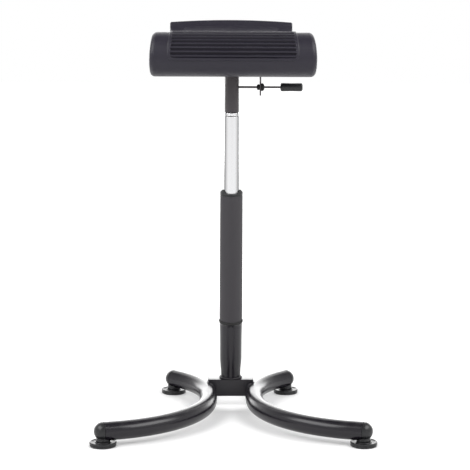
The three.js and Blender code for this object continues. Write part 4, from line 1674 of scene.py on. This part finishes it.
@dataclass
class SaddleSeat:
    """The moulded seat: front roll, shallow dip, rear lip and the ribbed panel."""

    # The side outline.
    roll_radius: float = 46.6 * MM
    roll_y: float = -95 * MM
    roll_drop: float = 1.6 * MM
    roll_start: float = math.radians(-50)
    roll_end: float = math.radians(60)
    tuck: float = 18 * MM
    pan_front_y: float = -34 * MM
    pan_rear_y: float = 102 * MM
    pan_corner: float = 9 * MM
    waist_y: float = 52 * MM
    lip_y: float = 113 * MM
    lip_rise: float = 72 * MM
    lip_radius: float = 7 * MM
    lip_lean: float = math.radians(27)
    lip_face: float = 50 * MM
    dip_front: float = 45 * MM
    # The width at the roll, the waist and the lip, and the shape of the ends.
    roll_half: float = 175.4 * MM
    waist_half: float = 127 * MM
    lip_half: float = 136.3 * MM
    lip_arch: float = 5 * MM
    end_crown: float = 3.9 * MM
    end_widest_drop: float = 15 * MM
    roll_end_round: float = 10 * MM
    lip_end_round: float = 3.5 * MM
    # The raised panel and its ribs.
    panel_share: float = 0.79
    panel_rise: float = 2.4 * MM
    panel_edge: float = 2.2 * MM
    panel_corner: float = 12 * MM
    panel_front: float = math.radians(-15)
    panel_rear: float = 12 * MM
    first_groove: float = math.radians(-7.3)
    groove_count: int = 14
    groove_pitch: float = 8.75 * MM
    groove_width: float = 6.0 * MM
    groove_depth: float = 2.8 * MM
    groove_fade: float = 2.5 * MM
    border: float = 5.5 * MM
    # The mesh.
    edge_inside: float = 9.5 * MM
    edge_outside: float = 2.5 * MM
    face_margin: float = 2.5 * MM

    def __post_init__(self) -> None:
        """Places the seat on its plate and draws the outline."""
        self.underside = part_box("seat_plate")[1].z + GAP
        self.roll_z = self.underside + self.roll_drop
        self.top_z = self.underside + self.lip_rise
        self.outline = self.draw()

    def draw(self) -> Outline:
        """Draws the side outline, from under the roll, round its front and over the dip to the lip.

        Returns:
            The outline. Its joints end the roll, the dip, the lip's edge, its back, the corner, the
            underside and the tuck behind the roll.
        """
        line = Outline()
        roll = Vector((self.roll_y, self.roll_z))
        face = Vector((math.sin(self.lip_lean), math.cos(self.lip_lean)))
        lip = Vector((self.lip_y + self.lip_radius * face.y, self.top_z - self.lip_radius))
        inner = Vector((self.lip_y, lip.y + self.lip_radius * face.x))
        line.arc(roll, self.roll_radius, self.roll_start, self.roll_end - 2 * math.pi)
        end = line.points[-1]
        away = Vector((math.sin(self.roll_end), -math.cos(self.roll_end))) * self.dip_front
        line.curve(end, end + away, inner - face * self.lip_face, inner)
        line.arc(lip, self.lip_radius, math.pi - self.lip_lean, -self.lip_lean)
        rear = Vector((self.pan_rear_y, self.underside))
        above = rear + face * self.pan_corner
        line.straight(line.points[-1], above, 40)
        under = rear - Vector((self.pan_corner, 0.0))
        line.curve(above, above.lerp(rear, 2 / 3), under.lerp(rear, 2 / 3), under)
        front = Vector((self.pan_front_y, self.underside))
        line.straight(under, front, 60)
        towards = Vector((math.cos(self.roll_start), math.sin(self.roll_start)))
        start = roll + self.roll_radius * towards
        turn = Vector((-math.sin(self.roll_start), math.cos(self.roll_start))) * self.tuck
        line.curve(front, front - Vector((self.tuck, 0.0)), start + turn, start)
        return line

    def on_roll(self, angle: float) -> float:
        """The length along the outline at an angle above the roll's front."""
        return self.roll_radius * (math.pi + self.roll_start + angle)

    def half_width(self, y: float, z: float) -> float:
        """Half the seat's width at a place on its side view.

        Args:
            y: The place's depth.
            z: The place's height.

        Returns:
            Half the width.
        """
        to_waist = smoothstep(y, self.roll_y, self.waist_y)
        to_lip = smoothstep(y, self.waist_y, self.lip_y)
        half = self.roll_half + (self.waist_half - self.roll_half) * to_waist
        half += (self.lip_half - self.waist_half) * to_lip
        off = (z - (self.roll_z - self.end_widest_drop)) / self.roll_radius
        return half - self.end_crown * (1 - to_waist) * off * off

    def panel_depth(self, spot: Spot) -> float:
        """How deep inside the ribbed panel a place is.

        Args:
            spot: The place.

        Returns:
            The distance to the panel's edge, negative outside.
        """
        start = self.on_roll(self.panel_front)
        stop = self.outline.joints[1] - self.panel_rear
        corner = self.panel_corner
        along = abs(spot.along - (start + stop) / 2.0) - ((stop - start) / 2.0 - corner)
        side = abs(spot.across) - (self.panel_share * spot.half - corner)
        outside = math.hypot(max(along, 0.0), max(side, 0.0))
        return corner - outside - min(max(along, side), 0.0)

    def hollow(self, spot: Spot) -> float:
        """How deep in a groove a place is.

        Args:
            spot: The place.

        Returns:
            The share of a groove's depth, from 0 to 1.
        """
        place = (spot.along - self.on_roll(self.first_groove)) / self.groove_pitch
        nearest = min(self.groove_count - 1, max(0, round(place)))
        off = abs(place - nearest) * self.groove_pitch / (self.groove_width / 2.0)
        if off >= 1.0:
            return 0.0
        inside = smoothstep(self.panel_depth(spot), self.border, self.border + self.groove_fade)
        return inside * math.cos(off * math.pi / 2.0) ** 0.8

    def relief(self, spot: Spot) -> float:
        """The height of the panel and its ribs above the plain skin."""
        rise = self.panel_rise * smoothstep(self.panel_depth(spot), 0.0, self.panel_edge)
        return rise - self.groove_depth * self.hollow(spot)

    def rows(self) -> list[float]:
        """The lengths along the outline at which the mesh has a row, close together at the ribs.

        Returns:
            The lengths, in order.
        """
        _, dip_end, lip_end, back_end, corner_end, under_end, tuck_end = self.outline.joints
        ribs_start = self.on_roll(self.panel_front) - 3 * MM
        ribs_end = self.on_roll(self.first_groove) + self.groove_pitch * self.groove_count
        panel_end = dip_end - self.panel_rear
        stretches = (
            (ribs_start, 2.5 * MM),
            (ribs_end, 0.5 * MM),
            (panel_end - 14 * MM, 3 * MM),
            (panel_end + 3 * MM, 0.8 * MM),
            (dip_end, 2 * MM),
            (lip_end, 1.2 * MM),
            (back_end, 4 * MM),
            (corner_end, 1.2 * MM),
            (under_end, 5 * MM),
            (tuck_end, 2.5 * MM),
        )
        rows: list[float] = []
        start = 0.0
        for stop, step in stretches:
            rows += spaced(start, stop, max(1, round((stop - start) / step)))[:-1]
            start = stop
        return rows

    def columns(self) -> list[tuple[Strip, float]]:
        """The kinds and places of the mesh's columns over one half, from the middle to the end.

        Returns:
            The columns: over the panel's inside, its edge, the plain side and the end's rounding.
        """
        edge = spaced(-self.edge_inside, self.edge_outside, 16)
        columns = [(Strip.INNER, share) for share in spaced(0.0, 1.0, 8)]
        columns += [(Strip.EDGE, place) for place in edge]
        columns += [(Strip.SIDE, share) for share in spaced(0.0, 1.0, 6)[1:]]
        columns += [(Strip.ROUND, angle) for angle in spaced(0.0, math.pi / 2, 10)[1:]]
        return columns

    def end_round(self, y: float) -> float:
        """The rounding between the skin and the end face at a depth."""
        share = smoothstep(y, self.waist_y - 20 * MM, self.lip_y - 10 * MM)
        return self.roll_end_round + (self.lip_end_round - self.roll_end_round) * share

    def point(self, distance: float, column: tuple[Strip, float]) -> tuple[Vector, float]:
        """One point of the skin, on the +X half.

        Args:
            distance: The length along the outline.
            column: The column's kind and place.

        Returns:
            The point, and how deep in a groove it is.
        """
        strip, place = column
        start, normal = self.outline.at(distance)
        bend = self.end_round(start.x)
        lift = -bend * (1 - math.cos(place)) if strip is Strip.ROUND else 0.0
        y, z = start + normal * lift
        half = self.half_width(y, z)
        panel = self.panel_share * half
        if strip is Strip.INNER:
            across = place * (panel - 10 * MM)
        elif strip is Strip.EDGE:
            across = panel + place
        elif strip is Strip.SIDE:
            across = panel + self.edge_outside + place * (half - bend - panel - self.edge_outside)
        else:
            across = half - bend + bend * math.sin(place)
        spot = Spot(distance, across, half)
        raised = self.relief(spot) if strip is not Strip.ROUND else 0.0
        y += normal.x * raised
        z += normal.y * raised
        drop = self.arch(y, z, across / self.lip_half)
        return Vector((across, y, z - drop)), self.hollow(spot)

    def arch(self, y: float, z: float, share: float) -> float:
        """How far the rear lip's edge is lowered towards its ends."""
        rise = smoothstep(z, self.underside, self.top_z)
        return self.lip_arch * smoothstep(y, self.waist_y, self.lip_y) * rise * share * share

    def end_face(self, ring: Sequence[Vector]) -> tuple[list[Vector], list[list[int]]]:
        """Fills one end of the skin with a fine net.

        Args:
            ring: The skin's last ring of points.

        Returns:
            The added points, and the faces, whose indices count the ring first.
        """
        count = len(ring)
        flat = [Vector((p.y, p.z)) for p in ring]
        inside = [
            Vector((y, z))
            for y in spaced(min(p.x for p in flat), max(p.x for p in flat), 50)
            for z in spaced(min(p.y for p in flat), max(p.y for p in flat), 24)
            if self.clearance(flat, Vector((y, z))) > self.face_margin
        ]
        edges = [(i, (i + 1) % count) for i in range(count)]
        net, _, faces, *_ = delaunay_2d_cdt(flat + inside, edges, [], 1, 1e-9)
        points = [Vector((self.half_width(p.x, p.y), p.x, p.y)) for p in net[count:]]
        return points, [list(face) for face in faces]

    @staticmethod
    def clearance(ring: Sequence[Vector], point: Vector) -> float:
        """How far a point lies inside a ring, or a negative number if it lies outside.

        Args:
            ring: The ring's points.
            point: The point.

        Returns:
            The distance to the ring's nearest point.
        """
        inside = False
        nearest = 1.0
        for a, b in zip(ring, list(ring[1:]) + [ring[0]]):
            nearest = min(nearest, (point - a).length)
            if (a.y > point.y) != (b.y > point.y):
                cross = a.x + (point.y - a.y) * (b.x - a.x) / (b.y - a.y)
                if cross > point.x:
                    inside = not inside
        return nearest if inside else -nearest

    def build(self, shop: Workshop) -> None:
        """Builds the seat and fits it to the frame.

        Args:
            shop: Finishes the pieces.
        """
        rows = self.rows()
        half = [[self.point(row, column) for row in rows] for column in self.columns()]
        mirrored = [
            [(Vector((-p.x, p.y, p.z)), hollow) for p, hollow in column] for column in half[:0:-1]
        ]
        columns = mirrored + half
        count = len(rows)
        vertices = [point for column in columns for point, _ in column]
        hollows = [hollow for column in columns for _, hollow in column]
        faces: list[list[int]] = []
        for j in range(len(columns) - 1):
            for i in range(count):
                k = (i + 1) % count
                here, above = j * count, (j + 1) * count
                faces.append([here + i, above + i, above + k, here + k])
        added, caps = self.end_face([point for point, _ in half[-1]])
        for sign, start in ((1, (len(columns) - 1) * count), (-1, 0)):
            base = len(vertices)
            vertices += [Vector((sign * p.x, p.y, p.z)) for p in added]
            for face in caps:
                indices = [start + i if i < count else base + i - count for i in face]
                faces.append(indices if sign > 0 else indices[::-1])
        seat = make_object("seat_skin", vertices, faces, 50.0)
        hollows += [0.0] * (len(vertices) - len(hollows))
        seat.data.attributes.new(HOLLOW, "FLOAT", "POINT").data.foreach_set("value", hollows)
        shop.fit(seat, "charcoal_foam", Rider.SEAT, "seat_cushion")


# Studio


@dataclass(frozen=True)
class Softbox:
    """One soft lamp that the camera doesn't see, in metres and watts."""

    name: str
    place: Point3
    target: Point3
    size: Point2
    power: float

    def hang(self) -> None:
        """Hangs the lamp in its place, turned to its target."""
        data = bpy.data.lights.new(self.name, "AREA")
        data.shape = "RECTANGLE"
        data.size, data.size_y = self.size
        data.energy = self.power
        lamp = bpy.data.objects.new(self.name, data)
        bpy.context.scene.collection.objects.link(lamp)
        lamp.location = self.place
        ahead = Vector(self.target) - Vector(self.place)
        lamp.rotation_euler = ahead.to_track_quat("-Z", "Y").to_euler()
        lamp.visible_camera = False


SOFTBOXES = (
    Softbox("left softbox", (-1.7, -1.05, 2.0), (0.0, -0.2, 0.2), (2.2, 1.4), 49.0),
    Softbox("right softbox", (1.7, -1.05, 2.0), (0.0, -0.2, 0.2), (2.2, 1.4), 49.0),
    Softbox("back softbox", (0.0, 2.4, 2.2), (0.0, 0.0, 0.0), (3.0, 2.0), 24.0),
    Softbox("rear softbox", (0.0, 4.0, 0.85), (0.0, 0.0, 0.3), (7.0, 1.5), 115.0),
)


@dataclass
class Studio:
    """The floor, the surroundings, the lamps and the camera, in metres."""

    # The camera; its focal length and sensor are in millimetres.
    focal: float = 123.22
    sensor: float = 36.0
    distance: float = 3.5
    height: float = 0.87643
    azimuth: float = math.radians(-1.072)
    pan: float = math.radians(-0.134)
    pitch: float = math.radians(8.088)
    roll: float = math.radians(0.28)
    # The floor, and how much it glows over which distances.
    floor_size: float = 30.0
    floor_colour: float = 0.86
    # Painted light: the floor glows round the column's foot to lighten the shadow under the
    # crossbeam.
    hub_painted_glow: float = 0.42
    hub_reach: Point2 = (0.03, 0.08)
    floor_glow: float = 0.1
    far_glow: float = 0.6
    far_reach: Point2 = (0.7, 1.7)
    horizon_glow: float = 0.15
    horizon_reach: Point2 = (3.0, 5.0)
    # Painted light: the floor glows brighter beside the stool, so that the socket's sides reflect
    # it.
    side_painted_glow: float = 0.3
    side_start: Point2 = (0.42, 0.8)
    side_end: Point2 = (1.4, 2.6)
    mirrored_level: float = 1.09
    mirrored_reach: Point2 = (1.0, 1.6)
    # The surroundings, darker as a mirrored ceiling.
    world_light: float = 0.8
    ceiling_light: float = 0.35
    ceiling_reach: Point2 = (0.2, 0.85)

    def camera(self) -> None:
        """Places the camera where the photograph was taken from."""
        data = bpy.data.cameras.new("camera")
        data.lens = self.focal
        data.sensor_width = self.sensor
        camera = bpy.data.objects.new("camera", data)
        bpy.context.scene.collection.objects.link(camera)
        yaw = self.azimuth + self.pan
        level, drop = math.cos(self.pitch), math.sin(self.pitch)
        ahead = Vector((-math.sin(yaw) * level, math.cos(yaw) * level, -drop))
        right = Vector((math.cos(yaw), math.sin(yaw), 0.0))
        up = right.cross(ahead)
        side = right * math.cos(self.roll) + up * math.sin(self.roll)
        above = up * math.cos(self.roll) - right * math.sin(self.roll)
        turn = Matrix((side, above, -ahead)).transposed().to_4x4()
        place = Vector((math.sin(self.azimuth), -math.cos(self.azimuth), 0.0)) * self.distance
        camera.matrix_world = Matrix.Translation(place + Vector((0.0, 0.0, self.height))) @ turn
        bpy.context.scene.camera = camera

    def glow(
        self,
        tools: NodeTree,
        place: bpy.types.NodeSocket,
        away: bpy.types.NodeSocket,
    ) -> bpy.types.NodeSocket:
        """Works out how much the floor glows, so that it is seen white round its shadow, with
        painted light under the crossbeam and beside the stool.

        Args:
            tools: The floor material's tree.
            place: The place on the floor.
            away: Its distance from the column's foot.

        Returns:
            The glow's strength.
        """
        across = tools.add("ShaderNodeSeparateXYZ", {"Vector": place}).outputs["X"]
        aside = tools.math("ABSOLUTE", across)
        begun = tools.remap(aside, *self.side_start)
        beside = tools.math("SUBTRACT", begun, tools.remap(aside, *self.side_end))
        # Painted light: the floor glows brighter beside the stool for the socket's reflections, and
        # round the column's foot under the crossbeam.
        parts = (
            tools.math("MULTIPLY", beside, self.side_painted_glow),
            tools.remap(away, *self.horizon_reach, 0.0, self.horizon_glow),
            tools.remap(away, *self.hub_reach, self.hub_painted_glow, 0.0),
        )
        amount = tools.remap(away, *self.far_reach, self.floor_glow, self.far_glow)
        for part in parts:
            amount = tools.math("ADD", amount, part)
        return amount

    def floor_material(self) -> bpy.types.Material:
        """Makes the pale floor's material.

        Returns:
            The material: a plain pale surface that also glows where it is seen.
        """
        made = bpy.data.materials.new("pale floor")
        made.use_nodes = True
        made.node_tree.nodes.clear()
        tools = NodeTree(made.node_tree)
        path = tools.add("ShaderNodeLightPath").outputs
        seen = tools.math("MAXIMUM", path["Is Camera Ray"], path["Is Glossy Ray"])
        place = tools.add("ShaderNodeNewGeometry").outputs["Position"]
        away = tools.add("ShaderNodeVectorMath", {0: place}, operation="LENGTH").outputs["Value"]
        # Far from the stool, reflections see an even floor instead of the lamps' spill.
        far = tools.remap(away, *self.mirrored_reach)
        mirrored = tools.math("MULTIPLY", path["Is Glossy Ray"], far)
        kept = tools.math("SUBTRACT", 1.0, mirrored)
        pale = tools.math("MULTIPLY", kept, self.floor_colour)
        level = self.glow(tools, place, away)
        share = tools.math("MULTIPLY", tools.math("MULTIPLY", seen, level), kept)
        share = tools.math("ADD", share, tools.math("MULTIPLY", mirrored, self.mirrored_level))
        plain = tools.add("ShaderNodeBsdfDiffuse", {"Color": pale})
        glow = tools.add("ShaderNodeEmission", {"Color": WHITE, "Strength": share})
        both = tools.add("ShaderNodeAddShader", {0: plain.outputs[0], 1: glow.outputs[0]})
        tools.add("ShaderNodeOutputMaterial", {"Surface": both.outputs[0]})
        return made

    def floor(self) -> None:
        """Lays the pale floor, which keeps the stool's soft shadow."""
        half = self.floor_size / 2.0
        corners = [(-half, -half, 0.0), (half, -half, 0.0), (half, half, 0.0), (-half, half, 0.0)]
        floor = make_object("floor", corners, [(0, 1, 2, 3)])
        floor.location.z = -0.2 * MM
        floor.data.materials.append(self.floor_material())

    def world(self) -> None:
        """Makes the white surroundings: white where they are seen, softer as light."""
        world = bpy.data.worlds.new("white studio")
        bpy.context.scene.world = world
        world.use_nodes = True
        world.node_tree.nodes.clear()
        tools = NodeTree(world.node_tree)
        path = tools.add("ShaderNodeLightPath").outputs
        seen = tools.math("MAXIMUM", path["Is Camera Ray"], path["Is Glossy Ray"])
        seen = tools.math("MAXIMUM", seen, path["Is Transmission Ray"])
        inputs = {"Value": seen, "To Min": self.world_light, "To Max": 1.0}
        strength = tools.add("ShaderNodeMapRange", inputs)
        way = tools.add("ShaderNodeTexCoord").outputs["Generated"]
        up = tools.add("ShaderNodeSeparateXYZ", {"Vector": way}).outputs["Z"]
        fall = tools.remap(up, *self.ceiling_reach, 1.0, self.ceiling_light)
        light = tools.math("MULTIPLY", strength.outputs["Result"], fall)
        background = tools.add("ShaderNodeBackground", {"Color": WHITE, "Strength": light})
        tools.add("ShaderNodeOutputWorld", {"Surface": background.outputs[0]})

    def build(self) -> None:
        """Builds the studio."""
        bpy.context.scene.view_settings.view_transform = "Standard"
        self.camera()
        self.floor()
        self.world()
        for softbox in SOFTBOXES:
            softbox.hang()


def main() -> None:
    """Builds the studio and every sub-assembly in order."""
    logging.basicConfig(level=logging.INFO, format="%(message)s")
    Studio().build()
    shop = Workshop()
    legs = (LegTube(side=-1), LegTube(side=1))
    for leg in legs:
        leg.build(shop)
    Crossbeam(legs).build(shop)
    Column().build(shop)
    ReleaseLever().build(shop)
    SaddleSeat().build(shop)
    shop.dress_frame()


if __name__ == "__main__":
    main()
